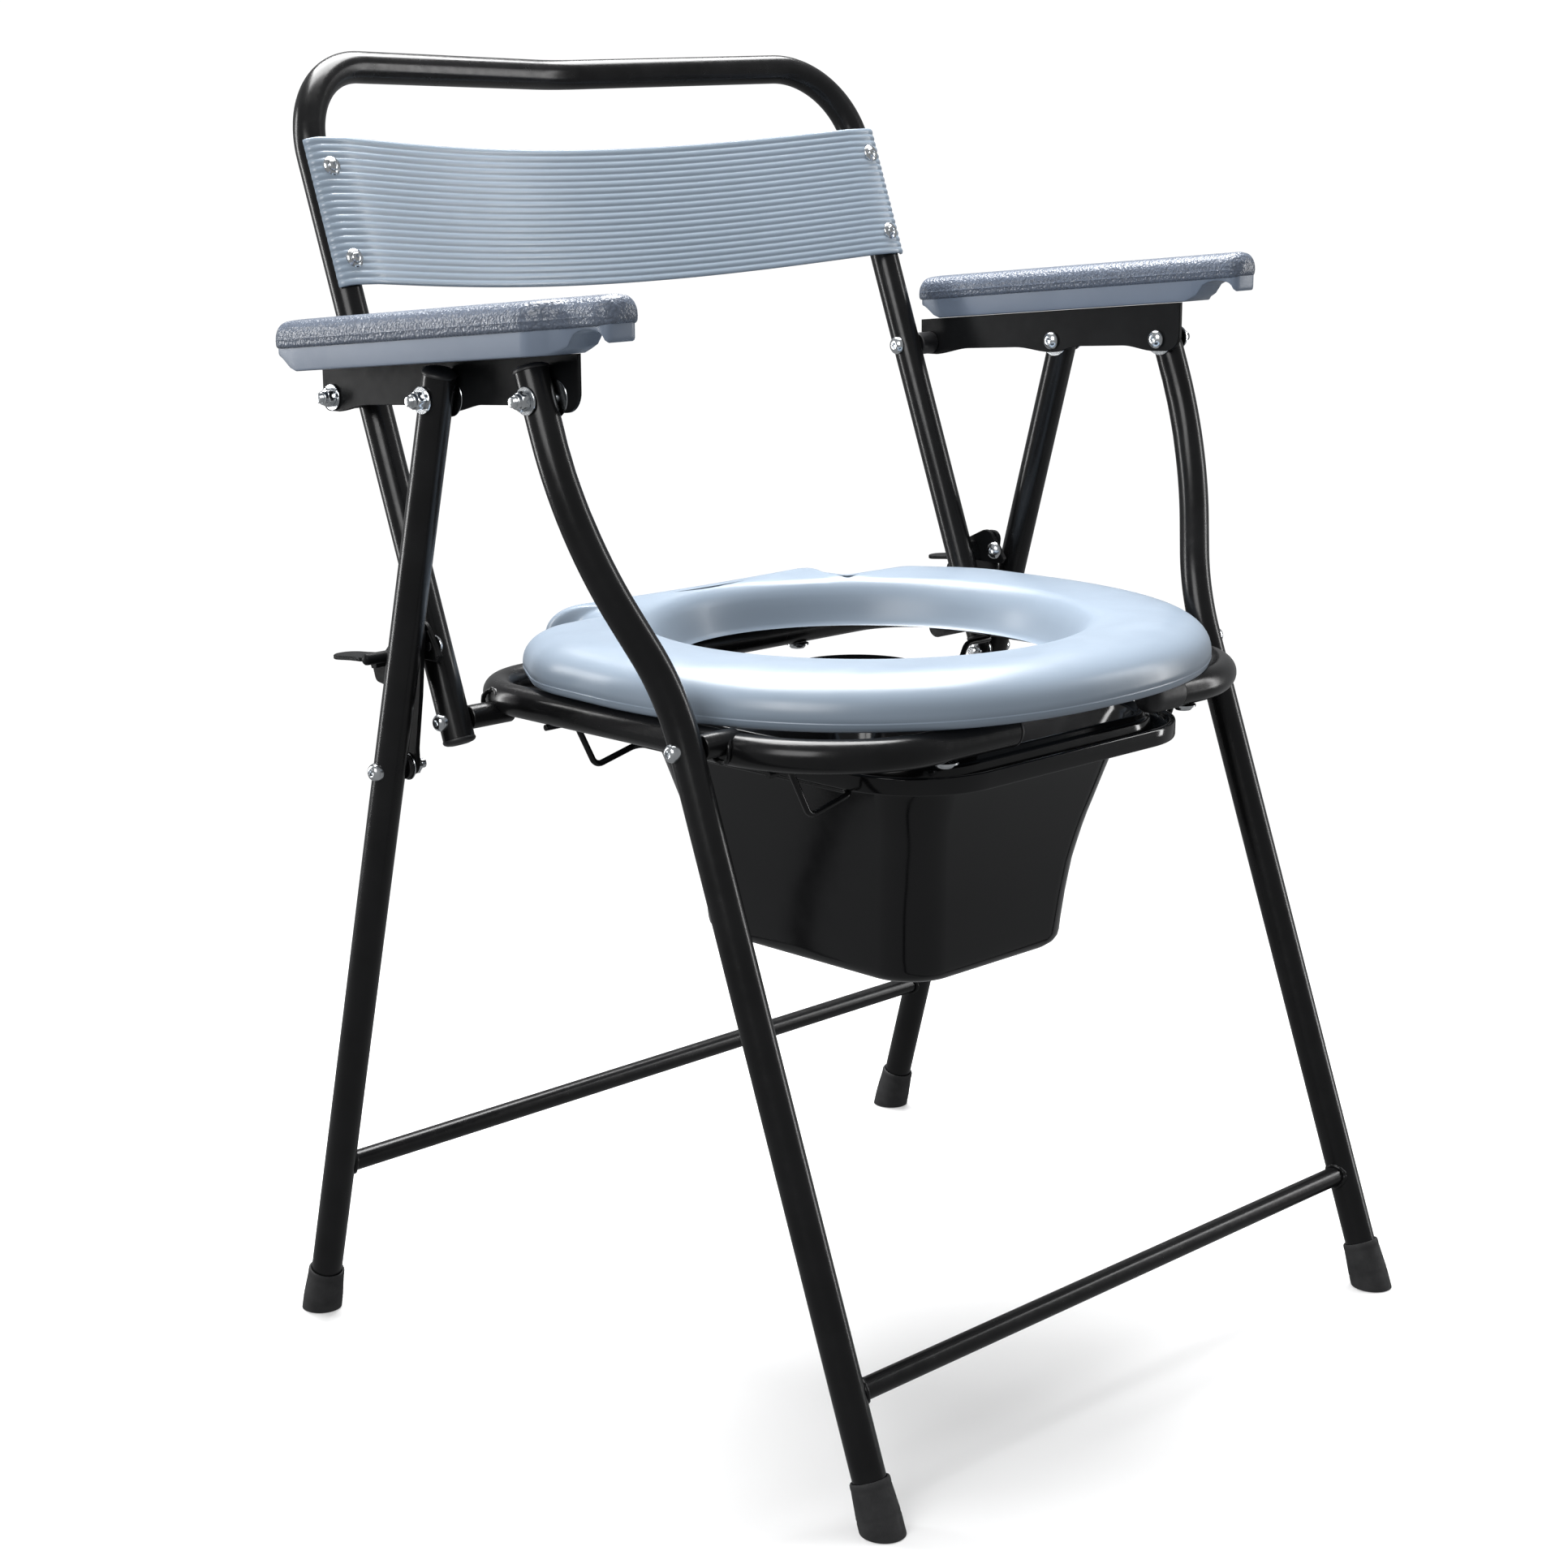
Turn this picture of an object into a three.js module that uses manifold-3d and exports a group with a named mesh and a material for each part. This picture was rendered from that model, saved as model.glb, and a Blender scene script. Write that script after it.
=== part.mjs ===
// Folding commode chair: bent-tube frame, ring seat, slide-out bucket, strap back and padded armrests.
// Millimetres. X is across the chair, -Y is the front, +Z is up, the floor is z = 0.
// Left pieces (the sitter's left) are at +X and are mirrored to make the right ones.
import * as THREE from "three";
import { mergeVertices } from "three/addons/utils/BufferGeometryUtils.js";
import Module from "manifold-3d";

const wasm = await Module();
wasm.setup();

// ---- driving dimensions ----
const TUBE_R = 10;
const BAR_R = 6.5;
const SIDES = 14;
const GAP = 0.4;

const FRONT_FOOT_Y = -268, FRONT_SLOPE = 0.3612;
const FRONT_X = 241, OUTER_X = 282.2, FRONT_SETBACK = 2;
const JOG_LOW_Z = 455, JOG_HIGH_Z = 548, JOG_LOW_R = 150, JOG_HIGH_R = 280;
const REAR_FOOT_X = 277.5, REAR_FOOT_Y = 210.8, REAR_SLOPE = 0.2626;
const LEG_START_Z = 6, FRONT_TOP_Z = 635, REAR_TOP_Z = 628;

const BACK_X = 242, BACK_LOW_Z = 400.5, BACK_LOW_Y = 89.7, BACK_SLOPE = 0.3625;
const RAIL_Z = 803.6, RAIL_MID_Y = 272.6, RAIL_MID_Z = 798, RAIL_CORNER_R = 60, RAIL_MID_R = 120;

const SEAT_PIVOT = [94.0, 411.3];
const SEAT_FRONT = [-114.3, 424.8];
const ARM_PIVOT = [164.6, 606.4];
const ARM_FRONT = [-43.7, 619.9];
const ARM_MID = [49.6, 613.9];
const LOCK_PIVOT = [110.0, 384];
const LOCK_PIN = [91, 460.5];

const SHANK_R = 3, HOLE_R = 3.75;

const LOOP_X = 205, LOOP_Z = 420, LOOP_FRONT_Y = -196, LOOP_REAR_Y = 129, LOOP_LEFT_END_X = 100, LOOP_RIGHT_END_X = -58;
const LOOP_FRONT_R = 85, LOOP_REAR_R = 52;
const STUB_R = 7.5, STUB_REAR_X = 231.4, STUB_FRONT_X = 230.4;

const PLATE_X = 268.6, PLATE_T = 3;
const BAR_X = 263, BAR_T = 3;

const FRONT_BAR_Z = 73.5, REAR_BAR_Z = 107;

const frontLegY = (z) => FRONT_FOOT_Y + FRONT_SLOPE * z;
const rearLegY = (z) => REAR_FOOT_Y - REAR_SLOPE * z;
const rearLegX = (z) => REAR_FOOT_X + (OUTER_X - REAR_FOOT_X) * z / REAR_TOP_Z;
const backY = (z) => BACK_LOW_Y + BACK_SLOPE * (z - BACK_LOW_Z);
const padBottom = (y) => 623.8 + (165 - y) * 0.097;
const v3 = (x, y, z) => new THREE.Vector3(x, y, z);

// ---- solids ----
function weld(geometry) {
  geometry.deleteAttribute("normal");
  geometry.deleteAttribute("uv");
  const merged = mergeVertices(geometry, 1e-4);
  const p = merged.attributes.position, kept = [];
  const a = v3(), b = v3(), c = v3();
  let volume = 0;
  for (let i = 0; i < merged.index.count; i += 3) {
    const t = [0, 1, 2].map((k) => merged.index.getX(i + k));
    if (t[0] === t[1] || t[1] === t[2] || t[2] === t[0]) continue;
    a.fromBufferAttribute(p, t[0]); b.fromBufferAttribute(p, t[1]); c.fromBufferAttribute(p, t[2]);
    volume += a.dot(b.cross(c));
    kept.push(t);
  }
  if (volume < 0) kept.forEach((t) => t.reverse());
  return new wasm.Manifold(new wasm.Mesh({
    numProp: 3, vertProperties: new Float32Array(p.array), triVerts: new Uint32Array(kept.flat()),
  }));
}

function geometryOf(solid) {
  const mesh = solid.getMesh();
  const geometry = new THREE.BufferGeometry();
  geometry.setAttribute("position", new THREE.BufferAttribute(new Float32Array(mesh.vertProperties), 3));
  geometry.setIndex(new THREE.BufferAttribute(new Uint32Array(mesh.triVerts), 1));
  geometry.computeVertexNormals();
  return geometry;
}

// A path through corners with filleted bends, sampled only where it turns.
class BentPath extends THREE.Curve {
  constructor(corners, radii, turnStep = Math.PI / 12) {
    super();
    this.stations = [];
    const last = corners.length - 1;
    corners.forEach((b, i) => {
      if (i === 0 || i === last) {
        const d = i === 0 ? corners[1].clone().sub(b) : b.clone().sub(corners[i - 1]);
        this.stations.push([b.clone(), d.normalize()]);
        return;
      }
      const d1 = b.clone().sub(corners[i - 1]).normalize();
      const d2 = corners[i + 1].clone().sub(b).normalize();
      const turn = d1.angleTo(d2), r = radii[i - 1];
      const axis = d1.clone().cross(d2).normalize();
      const start = b.clone().addScaledVector(d1, -r * Math.tan(turn / 2));
      const centre = start.clone().addScaledVector(axis.clone().cross(d1), r);
      const n = Math.max(2, Math.ceil(turn / turnStep));
      for (let k = 0; k <= n; k++) {
        const angle = (turn * k) / n;
        const point = start.clone().sub(centre).applyAxisAngle(axis, angle).add(centre);
        this.stations.push([point, d1.clone().applyAxisAngle(axis, angle)]);
      }
    });
  }
  station(u) { return this.stations[Math.round(u * (this.stations.length - 1))]; }
  getPoint(u, target = v3()) { return target.copy(this.station(u)[0]); }
  getPointAt(u, target) { return this.getPoint(u, target); }
  getTangent(u, target = v3()) { return target.copy(this.station(u)[1]); }
  getTangentAt(u, target) { return this.getTangent(u, target); }
}

function ringShape(radius, sides) {
  const points = [];
  for (let i = 0; i < sides; i++) {
    const a = (2 * Math.PI * (i + 0.5)) / sides;
    points.push(new THREE.Vector2(radius * Math.cos(a), radius * Math.sin(a)));
  }
  return new THREE.Shape(points);
}

function tube(corners, radii = [], radius = TUBE_R, sides = SIDES, turnStep) {
  const path = new BentPath(corners, radii, turnStep);
  return weld(new THREE.ExtrudeGeometry(ringShape(radius, sides), {
    steps: path.stations.length - 1, bevelEnabled: false, extrudePath: path,
  }));
}

const rod = (a, b, radius, sides = 12) => tube([a, b], [], radius, sides);
const crossRod = ([y, z], x0, x1, radius, sides = 12) => rod(v3(x0, y, z), v3(x1, y, z), radius, sides);

// A turned piece: profile rows are [radius, distance along the axis from origin].
function turned(profile, origin, direction, segments = 12) {
  const lathe = new THREE.LatheGeometry(profile.map(([r, h]) => new THREE.Vector2(r, h)), segments);
  const q = new THREE.Quaternion().setFromUnitVectors(v3(0, 1, 0), direction.clone().normalize());
  lathe.applyQuaternion(q);
  lathe.translate(origin.x, origin.y, origin.z);
  return weld(lathe);
}
const turnedAcross = (profile, [y, z], segments = 10) => turned(profile, v3(0, y, z), v3(1, 0, 0), segments);

// Rows of points joined into a skin; closed into a loop, or capped with fans at both ends.
function loft(rows, loop) {
  const n = rows[0].length, positions = rows.flat().flatMap((p) => [p.x, p.y, p.z]), index = [];
  const spans = loop ? rows.length : rows.length - 1;
  for (let i = 0; i < spans; i++) {
    const a = i * n, b = ((i + 1) % rows.length) * n;
    for (let j = 0; j < n; j++) {
      const k = (j + 1) % n;
      index.push(a + j, b + j, b + k, a + j, b + k, a + k);
    }
  }
  if (!loop) {
    [0, rows.length - 1].forEach((i) => {
      const middle = rows[i].reduce((s, p) => s.add(p), v3()).divideScalar(n);
      const m = positions.length / 3;
      positions.push(middle.x, middle.y, middle.z);
      for (let j = 0; j < n; j++) {
        const k = (j + 1) % n, a = i * n + j, b = i * n + k;
        index.push(...(i === 0 ? [m, a, b] : [m, b, a]));
      }
    });
  }
  const geometry = new THREE.BufferGeometry();
  geometry.setAttribute("position", new THREE.BufferAttribute(new Float32Array(positions), 3));
  geometry.setIndex(index);
  return weld(geometry);
}

// A closed outline of [a, b, corner radius] rows turned into points.
function outline(corners, turnStep = Math.PI / 8) {
  const points = [], n = corners.length;
  corners.forEach(([x, y, r = 0], i) => {
    const b = new THREE.Vector2(x, y);
    const d1 = b.clone().sub(new THREE.Vector2(...corners[(i + n - 1) % n].slice(0, 2))).normalize();
    const d2 = new THREE.Vector2(...corners[(i + 1) % n].slice(0, 2)).sub(b).normalize();
    const turn = Math.atan2(d1.cross(d2), d1.dot(d2));
    if (r === 0 || Math.abs(turn) < 0.02) { points.push(b); return; }
    const side = Math.sign(turn);
    const start = b.clone().addScaledVector(d1, -r * Math.tan(Math.abs(turn) / 2));
    const centre = new THREE.Vector2(-d1.y, d1.x).multiplyScalar(r * side).add(start);
    const steps = Math.max(1, Math.ceil(Math.abs(turn) / turnStep));
    for (let k = 0; k <= steps; k++) {
      points.push(start.clone().rotateAround(centre, (turn * k) / steps));
    }
  });
  return points;
}

// A flat plate: outline in (y, z), from x0 to x1.
function plate(corners, x0, x1) {
  const shape = new THREE.Shape(outline(corners));
  const geometry = new THREE.ExtrudeGeometry(shape, { depth: x1 - x0, bevelEnabled: false });
  geometry.applyMatrix4(new THREE.Matrix4().set(0, 0, 1, x0, 1, 0, 0, 0, 0, 1, 0, 0, 0, 0, 0, 1));
  return weld(geometry);
}

// ---- nodes ----
const group = new THREE.Group();
group.name = "folding_commode_chair";
const COLOURS = {
  frame_black: 0x17181a, zinc_steel: 0xb9bcc0, pad_blue: 0x66788c, strap_blue: 0x9fb2c2,
  seat_blue: 0x8fa5ba, bucket_black: 0x0c0c0e, boot_rubber: 0x2a2b2c, spacer_black: 0x1c1c1d,
};
function add(name, slot, solid) {
  const mesh = new THREE.Mesh(geometryOf(solid), new THREE.MeshStandardMaterial({ color: COLOURS[slot] }));
  mesh.name = name;
  mesh.material.name = slot;
  group.add(mesh);
}
function addPair(name, slot, solid) {
  add(`${name}_left`, slot, solid);
  add(`${name}_right`, slot, solid.mirror([1, 0, 0]));
}
const acrossHole = (at, x0, x1, radius = HOLE_R) => crossRod(at, x0, x1, radius, 12);

// ---- legs ----
const frontLegPath = [
  v3(FRONT_X, frontLegY(LEG_START_Z), LEG_START_Z),
  v3(FRONT_X, frontLegY(JOG_LOW_Z), JOG_LOW_Z),
  v3(OUTER_X, frontLegY(JOG_HIGH_Z) + FRONT_SETBACK, JOG_HIGH_Z),
  v3(OUTER_X, frontLegY(FRONT_TOP_Z) + FRONT_SETBACK, FRONT_TOP_Z),
];
const rearLegPath = [
  v3(rearLegX(LEG_START_Z), rearLegY(LEG_START_Z), LEG_START_Z),
  v3(OUTER_X, rearLegY(REAR_TOP_Z), REAR_TOP_Z),
];
const frontDirection = v3(0, FRONT_SLOPE, 1).normalize();
const rearDirection = rearLegPath[1].clone().sub(rearLegPath[0]).normalize();
const JOG = [JOG_LOW_R, JOG_HIGH_R], JOG_STEP = Math.PI / 24;

const frontLeg = tube(frontLegPath, JOG, TUBE_R, SIDES, JOG_STEP)
  .subtract(acrossHole(ARM_FRONT, OUTER_X - 15, OUTER_X + 15))
  .subtract(acrossHole(SEAT_FRONT, FRONT_X - 15, FRONT_X + 15));
const rearLeg = tube(rearLegPath)
  .subtract(acrossHole(ARM_MID, OUTER_X - 15, OUTER_X + 15))
  .subtract(acrossHole(LOCK_PIVOT, OUTER_X - 15, OUTER_X + 15));
addPair("front_leg_tube", "frame_black", frontLeg);
addPair("rear_leg_tube", "frame_black", rearLeg);

const BOOT_TOP_R = 11.3, BOOT_LOW_R = 13, BOOT_H = 24, BOOT_BORE_R = 10.4;
const belowFloor = plate([[-400, -40], [400, -40], [400, 0], [-400, 0]], -400, 400);
function boot(path, direction) {
  const sunk = 10;
  const profile = [
    [0, -sunk], [BOOT_LOW_R, -sunk], [BOOT_LOW_R, 5], [BOOT_TOP_R + 0.5, BOOT_H - 5],
    [BOOT_TOP_R, BOOT_H], [BOOT_BORE_R, BOOT_H], [BOOT_BORE_R, -GAP], [0, -GAP],
  ];
  return turned(profile, path[0], direction, 16).subtract(belowFloor);
}
addPair("front_boot", "boot_rubber", boot(frontLegPath, frontDirection));
addPair("rear_boot", "boot_rubber", boot(rearLegPath, rearDirection));

const CAP_PROFILE = [[0, GAP], [TUBE_R, GAP], [TUBE_R, 1.6], [8.6, 3], [5, 3.8], [0, 4]];
const cap = (at, direction) => turned(CAP_PROFILE, at, direction, 12);
addPair("front_leg_cap", "spacer_black", cap(frontLegPath[3], frontDirection));
addPair("rear_leg_cap", "spacer_black", cap(rearLegPath[1], rearDirection));

function crossbar(z, y, x, legPath, bends) {
  const fat = tube(legPath, bends, TUBE_R + GAP, SIDES, JOG_STEP);
  return crossRod([y, z], -x, x, BAR_R, 14).subtract(fat).subtract(fat.mirror([1, 0, 0]))
    .decompose().sort((a, b) => b.volume() - a.volume())[0];
}
add("front_crossbar", "frame_black",
  crossbar(FRONT_BAR_Z, frontLegY(FRONT_BAR_Z), FRONT_X - 4, frontLegPath, JOG));
add("rear_crossbar", "frame_black", crossbar(REAR_BAR_Z, rearLegY(REAR_BAR_Z), REAR_FOOT_X - 4, rearLegPath, []));

// ---- back frame ----
const backDirection = v3(0, BACK_SLOPE, 1).normalize();
const backNormal = v3(0, 1, -BACK_SLOPE).normalize();
const backSide = [v3(BACK_X, BACK_LOW_Y, BACK_LOW_Z), v3(BACK_X, backY(RAIL_Z), RAIL_Z)];
const flipX = (p) => v3(-p.x, p.y, p.z);
const backPath = [...backSide, v3(0, RAIL_MID_Y, RAIL_MID_Z), flipX(backSide[1]), flipX(backSide[0])];

const STRAP_MID_Z = 712, STRAP_HALF_H = 47, STRAP_T = 3, STRAP_SAG = 35, STRAP_FLAT_X = 232;
const STRAP_RISE = TUBE_R + 2.3, STRAP_WRAP = 0.95;
const SCREW_X = 240, SCREW_ALONG = [-30.5, 28], SCREW_HOLE_R = 2.6;
const strapAxis = v3(0, backY(STRAP_MID_Z), STRAP_MID_Z);
const onBack = (x, along, depth) => strapAxis.clone().setX(x)
  .addScaledVector(backDirection, along).addScaledVector(backNormal, depth);

const screwHoles = SCREW_ALONG.map((along) => rod(
  onBack(SCREW_X, along, -20), onBack(SCREW_X, along, -1.5), SCREW_HOLE_R, 8));
let backTube = tube(backPath, [RAIL_CORNER_R, RAIL_MID_R, RAIL_CORNER_R]);
const backHoles = [
  acrossHole(ARM_PIVOT, BACK_X - 15, BACK_X + 15), acrossHole(SEAT_PIVOT, BACK_X - 15, BACK_X + 15), ...screwHoles,
];
backHoles.forEach((h) => { backTube = backTube.subtract(h).subtract(h.mirror([1, 0, 0])); });
add("back_frame_tube", "frame_black", backTube);
addPair("back_tube_plug", "spacer_black", cap(backSide[0], backDirection.clone().negate()));

// The strap hangs between the side tubes and laps over their front faces.
const strapLine = [];
for (let i = -5; i <= 5; i++) {
  const x = (i / 5) * STRAP_FLAT_X;
  strapLine.push([x, -STRAP_RISE + STRAP_SAG * (1 - (i / 5) ** 2), 2 * STRAP_SAG * i / 5 / STRAP_FLAT_X]);
}
const strapEnd = [];
for (let k = 0; k <= 3; k++) {
  const a = (STRAP_WRAP * k) / 3;
  strapEnd.push([BACK_X + STRAP_RISE * Math.sin(a), -STRAP_RISE * Math.cos(a), a]);
}
function strapRow([x, depth], turn) {
  const dx = Math.sin(turn) * STRAP_T / 2, dn = Math.cos(turn) * STRAP_T / 2;
  const row = [];
  [[1, 1], [1, -1], [-1, -1], [-1, 1]].forEach(([up, back]) => {
    row.push(onBack(x - back * dx, up * STRAP_HALF_H, depth + back * dn));
  });
  return row;
}
const strapStations = [
  ...strapEnd.slice().reverse().map(([x, d, a]) => [[-x, d], -a]),
  ...strapLine.map(([x, d, slope]) => [[x, d], -Math.atan(slope)]),
  ...strapEnd.map(([x, d, a]) => [[x, d], a]),
];
let strap = loft(strapStations.map(([at, a]) => strapRow(at, a)), false);
screwHoles.forEach((h) => { strap = strap.subtract(h).subtract(h.mirror([1, 0, 0])); });
add("backrest_strap", "strap_blue", strap);

const strapScrew = (along) => turned(
  [[0, -8], [2, -8], [2, 0], [6, 0], [6, 0.9], [4.4, 1.6], [3.8, 3.6], [0, 3.6]],
  onBack(SCREW_X, along, -STRAP_RISE - STRAP_T / 2 - GAP), backNormal.clone().negate(), 10);
addPair("strap_screw_lower", "zinc_steel", strapScrew(SCREW_ALONG[0]));
addPair("strap_screw_upper", "zinc_steel", strapScrew(SCREW_ALONG[1]));

// ---- seat frame ----
const loopPath = [
  v3(LOOP_LEFT_END_X, LOOP_FRONT_Y, LOOP_Z), v3(LOOP_X, LOOP_FRONT_Y, LOOP_Z), v3(LOOP_X, LOOP_REAR_Y, LOOP_Z),
  v3(-LOOP_X, LOOP_REAR_Y, LOOP_Z), v3(-LOOP_X, LOOP_FRONT_Y, LOOP_Z), v3(LOOP_RIGHT_END_X, LOOP_FRONT_Y, LOOP_Z),
];
const SEAT_SCREWS = [[112, LOOP_FRONT_Y + 2], [92, LOOP_REAR_Y]];
const seatScrewHoles = SEAT_SCREWS.map(([x, y]) => rod(v3(x, y, LOOP_Z - 14), v3(x, y, 441), SCREW_HOLE_R, 8));
let seatLoop = tube(loopPath, [LOOP_FRONT_R, LOOP_REAR_R, LOOP_REAR_R, LOOP_FRONT_R]);
const loopAdds = [
  crossRod(SEAT_PIVOT, 198, STUB_REAR_X, STUB_R), crossRod(SEAT_FRONT, LOOP_X - 4, STUB_FRONT_X, STUB_R),
];
const loopCuts = [
  acrossHole(SEAT_PIVOT, 206, 240), acrossHole(SEAT_FRONT, 206, 240), ...seatScrewHoles,
];
loopAdds.forEach((s) => { seatLoop = seatLoop.add(s).add(s.mirror([1, 0, 0])); });
loopCuts.forEach((s) => { seatLoop = seatLoop.subtract(s).subtract(s.mirror([1, 0, 0])); });
add("seat_loop", "frame_black", seatLoop);
const loopPlug = turned(
  [[0, GAP], [TUBE_R, GAP], [TUBE_R, 24], [8.6, 29], [5, 32], [0, 33]], loopPath[0], v3(-1, 0, 0), 14);
add("seat_loop_cap_left", "spacer_black", loopPlug);
add("seat_loop_cap_right", "spacer_black", cap(loopPath[5], v3(1, 0, 0)));

const WIRE_R = 2, WIRE_BEND = 7;
const HANGER_REAR_Y = 50, HANGER_FRONT_Y = -138, RAIL_X = 130, WIRE_Z = 385.4;
const hanger = (y, end) => [v3(end, y, 407.5), v3(182, y, 407.5), v3(166, y, 377)];
const railPath = [
  ...hanger(HANGER_REAR_Y, 206), v3(RAIL_X, HANGER_REAR_Y, WIRE_Z), v3(RAIL_X, HANGER_FRONT_Y, WIRE_Z),
  ...hanger(HANGER_FRONT_Y, 200).reverse(),
];
addPair("bucket_rail", "frame_black",
  tube(railPath, new Array(6).fill(WIRE_BEND), WIRE_R, 8, Math.PI / 6));

// Seat: a ring with a flat tongue at the back, between two notches.
const SEAT_HALF_X = 217, SEAT_MID_Y = -20, SEAT_FRONT_R = 212, SEAT_SQUARE = 2.3;
const SEAT_LOW_Z = 430.6, SEAT_EDGE_Z = 438, SEAT_TOP_Z = 462;
const seatRear = outline([
  [217, -20], [213, 52, 60], [180, 103, 14], [135, 109, 8], [117, 111, 6], [114, 134, 8], [124, 156, 7],
  ...[100, 75, 50, 25, 0, -25, -50, -75, -100].map((x) => [x, 156]),
  [-124, 156, 7], [-114, 134, 8], [-117, 111, 6], [-135, 109, 8], [-180, 103, 14], [-213, 52, 60], [-217, -20],
], Math.PI / 6);
const seatOuter = [...seatRear];
for (let i = 1; i < 22; i++) {
  const a = Math.PI + (Math.PI * i) / 22;
  const out = (v) => Math.sign(v) * Math.abs(v) ** (2 / SEAT_SQUARE);
  seatOuter.push(new THREE.Vector2(SEAT_HALF_X * out(Math.cos(a)), SEAT_MID_Y + SEAT_FRONT_R * out(Math.sin(a))));
}
const HOLE_Y = -26;
const seatRow = (p) => {
  const a = Math.atan2(p.y - HOLE_Y, p.x);
  const inner = (rx, ry, z) => v3(rx * Math.cos(a), HOLE_Y + ry * Math.sin(a), z);
  const toward = inner(125, 130, 0).setZ(0);
  const run = toward.clone().sub(v3(p.x, p.y, 0)).length();
  const inset = (d, z) => v3(p.x, p.y, 0).lerp(toward, d / run).setZ(z);
  return [
    inset(9, SEAT_LOW_Z), inset(0, SEAT_EDGE_Z), inset(0.8, SEAT_EDGE_Z + 8), inset(5, 456), inset(14, 461),
    inset(Math.min(32, run * 0.55), SEAT_TOP_Z), inner(146, 143, 460), inner(140, 137, 455), inner(131, 133, 445),
    inner(125, 130, SEAT_LOW_Z),
  ];
};
let seatRing = loft(seatOuter.map(seatRow), true);
seatScrewHoles.forEach((h) => { seatRing = seatRing.subtract(h).subtract(h.mirror([1, 0, 0])); });
add("seat_ring", "seat_blue", seatRing);

const seatScrew = ([x, y]) => turned(
  [[0, 0], [4.5, 0], [6, 1.6], [6, 3.6], [2, 3.6], [2, 33], [0, 33]], v3(x, y, LOOP_Z - TUBE_R - GAP - 3.6),
  v3(0, 0, 1), 8);
addPair("seat_screw_front", "zinc_steel", seatScrew(SEAT_SCREWS[0]));
addPair("seat_screw_rear", "zinc_steel", seatScrew(SEAT_SCREWS[1]));

// ---- bucket ----
const BUCKET_Y = -40, BUCKET_EXTRA_Y = 21;
function bucketRow([half, z]) {
  const r = 30 + Math.max(0, half - 95) * 0.7, deep = half + BUCKET_EXTRA_Y;
  return outline([[half, -deep, r], [half, deep, r], [-half, deep, r], [-half, -deep, r]], Math.PI / 12)
    .map((p) => v3(p.x, p.y + BUCKET_Y, z));
}
add("bucket", "bucket_black", loft([
  [70, 250], [76.5, 253], [78.8, 260], [80, 275], [82.9, 299], [87.2, 324], [93.4, 348], [101.5, 372], [106.5, 386],
  [110, 387.8], [138, 387.8], [138, 399], [135, 399], [134.6, 393], [124, 393], [122.5, 405.2], [116, 405.2],
  [113.5, 397], [104, 387], [98.5, 372], [90.4, 348], [84.2, 324], [77, 275], [75.8, 262], [72, 254], [66, 253],
].map(bucketRow), false));

// ---- armrests ----
const PAD_CAP = 16, PAD_H = 30, WALL_IN = 2.5, FRONT_END_Y = -112, REAR_END_Y = 178.5;
// station rows: y, inner x, outer x, how far the underside is raised
const PAD_ROWS = [
  [REAR_END_Y, 274, 298, 7], [REAR_END_Y - 2.5, 267.5, 304, 4], [REAR_END_Y - 9, 265.2, 307, 0],
  [60, 265, 307, 0], [-36, 265, 307, 0], [-58, 265, 305, 0.4], [-72, 265, 299, 3], [-82, 265.5, 294.5, 7.5],
  [-90, 265, 293.5, 11], [-100, 265.5, 293, 11], [-107, 267.5, 291, 4.5], [FRONT_END_Y, 272, 286, 7],
];
add_pads();
function add_pads() {
  const rows = PAD_ROWS.map(([y, x0, x1, lift]) => {
    const z0 = padBottom(y), low = z0 + lift, top = z0 + PAD_H - (lift > 5 && y > 0 ? 3 : 0);
    const shoulder = z0 + PAD_H - PAD_CAP;
    const c = Math.min(8, (x1 - x0) / 3);
    const end = y === REAR_END_Y || y === FRONT_END_Y ? 3 : 0;
    return [
      [x0 + WALL_IN, low], [x1 - WALL_IN, low], [x1 - WALL_IN, shoulder], [x1, shoulder + 0.8], [x1, top - c - end],
      [x1 - c * 0.3, top - c * 0.3 - end], [x1 - c, top - end], [x0 + c, top - end],
      [x0 + c * 0.3, top - c * 0.3 - end], [x0, top - c - end], [x0, shoulder + 0.8], [x0 + WALL_IN, shoulder],
    ].map(([x, z]) => v3(x, y, z));
  });
  addPair("armrest_pad", "pad_blue", loft(rows, false));
}

const PLATE_REAR_Y = 174.6, PLATE_FRONT_Y = -63.5, LOBE_R = 8.2, EDGE_RISE = 4.8;
let armPlate = plate([
  [PLATE_REAR_Y, padBottom(PLATE_REAR_Y) - GAP, 2], [PLATE_FRONT_Y, padBottom(PLATE_FRONT_Y) - GAP, 2],
  [PLATE_FRONT_Y, ARM_FRONT[1] - 7.4, 12], [ARM_FRONT[0], ARM_FRONT[1] - LOBE_R],
  [ARM_FRONT[0] + 26, ARM_FRONT[1] - EDGE_RISE], [ARM_MID[0] - 26, ARM_MID[1] - EDGE_RISE],
  [ARM_MID[0], ARM_MID[1] - LOBE_R], [ARM_MID[0] + 26, ARM_MID[1] - EDGE_RISE],
  [ARM_PIVOT[0] - 26, ARM_PIVOT[1] - EDGE_RISE], [ARM_PIVOT[0] - 4, ARM_PIVOT[1] - LOBE_R - 1],
  [PLATE_REAR_Y, ARM_PIVOT[1] - LOBE_R, 6],
], PLATE_X, PLATE_X + PLATE_T);
[ARM_PIVOT, ARM_MID, ARM_FRONT].forEach((at) => {
  armPlate = armPlate.subtract(acrossHole(at, PLATE_X - 2, PLATE_X + PLATE_T + 2));
});
addPair("armrest_bracket", "frame_black", armPlate);

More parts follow.
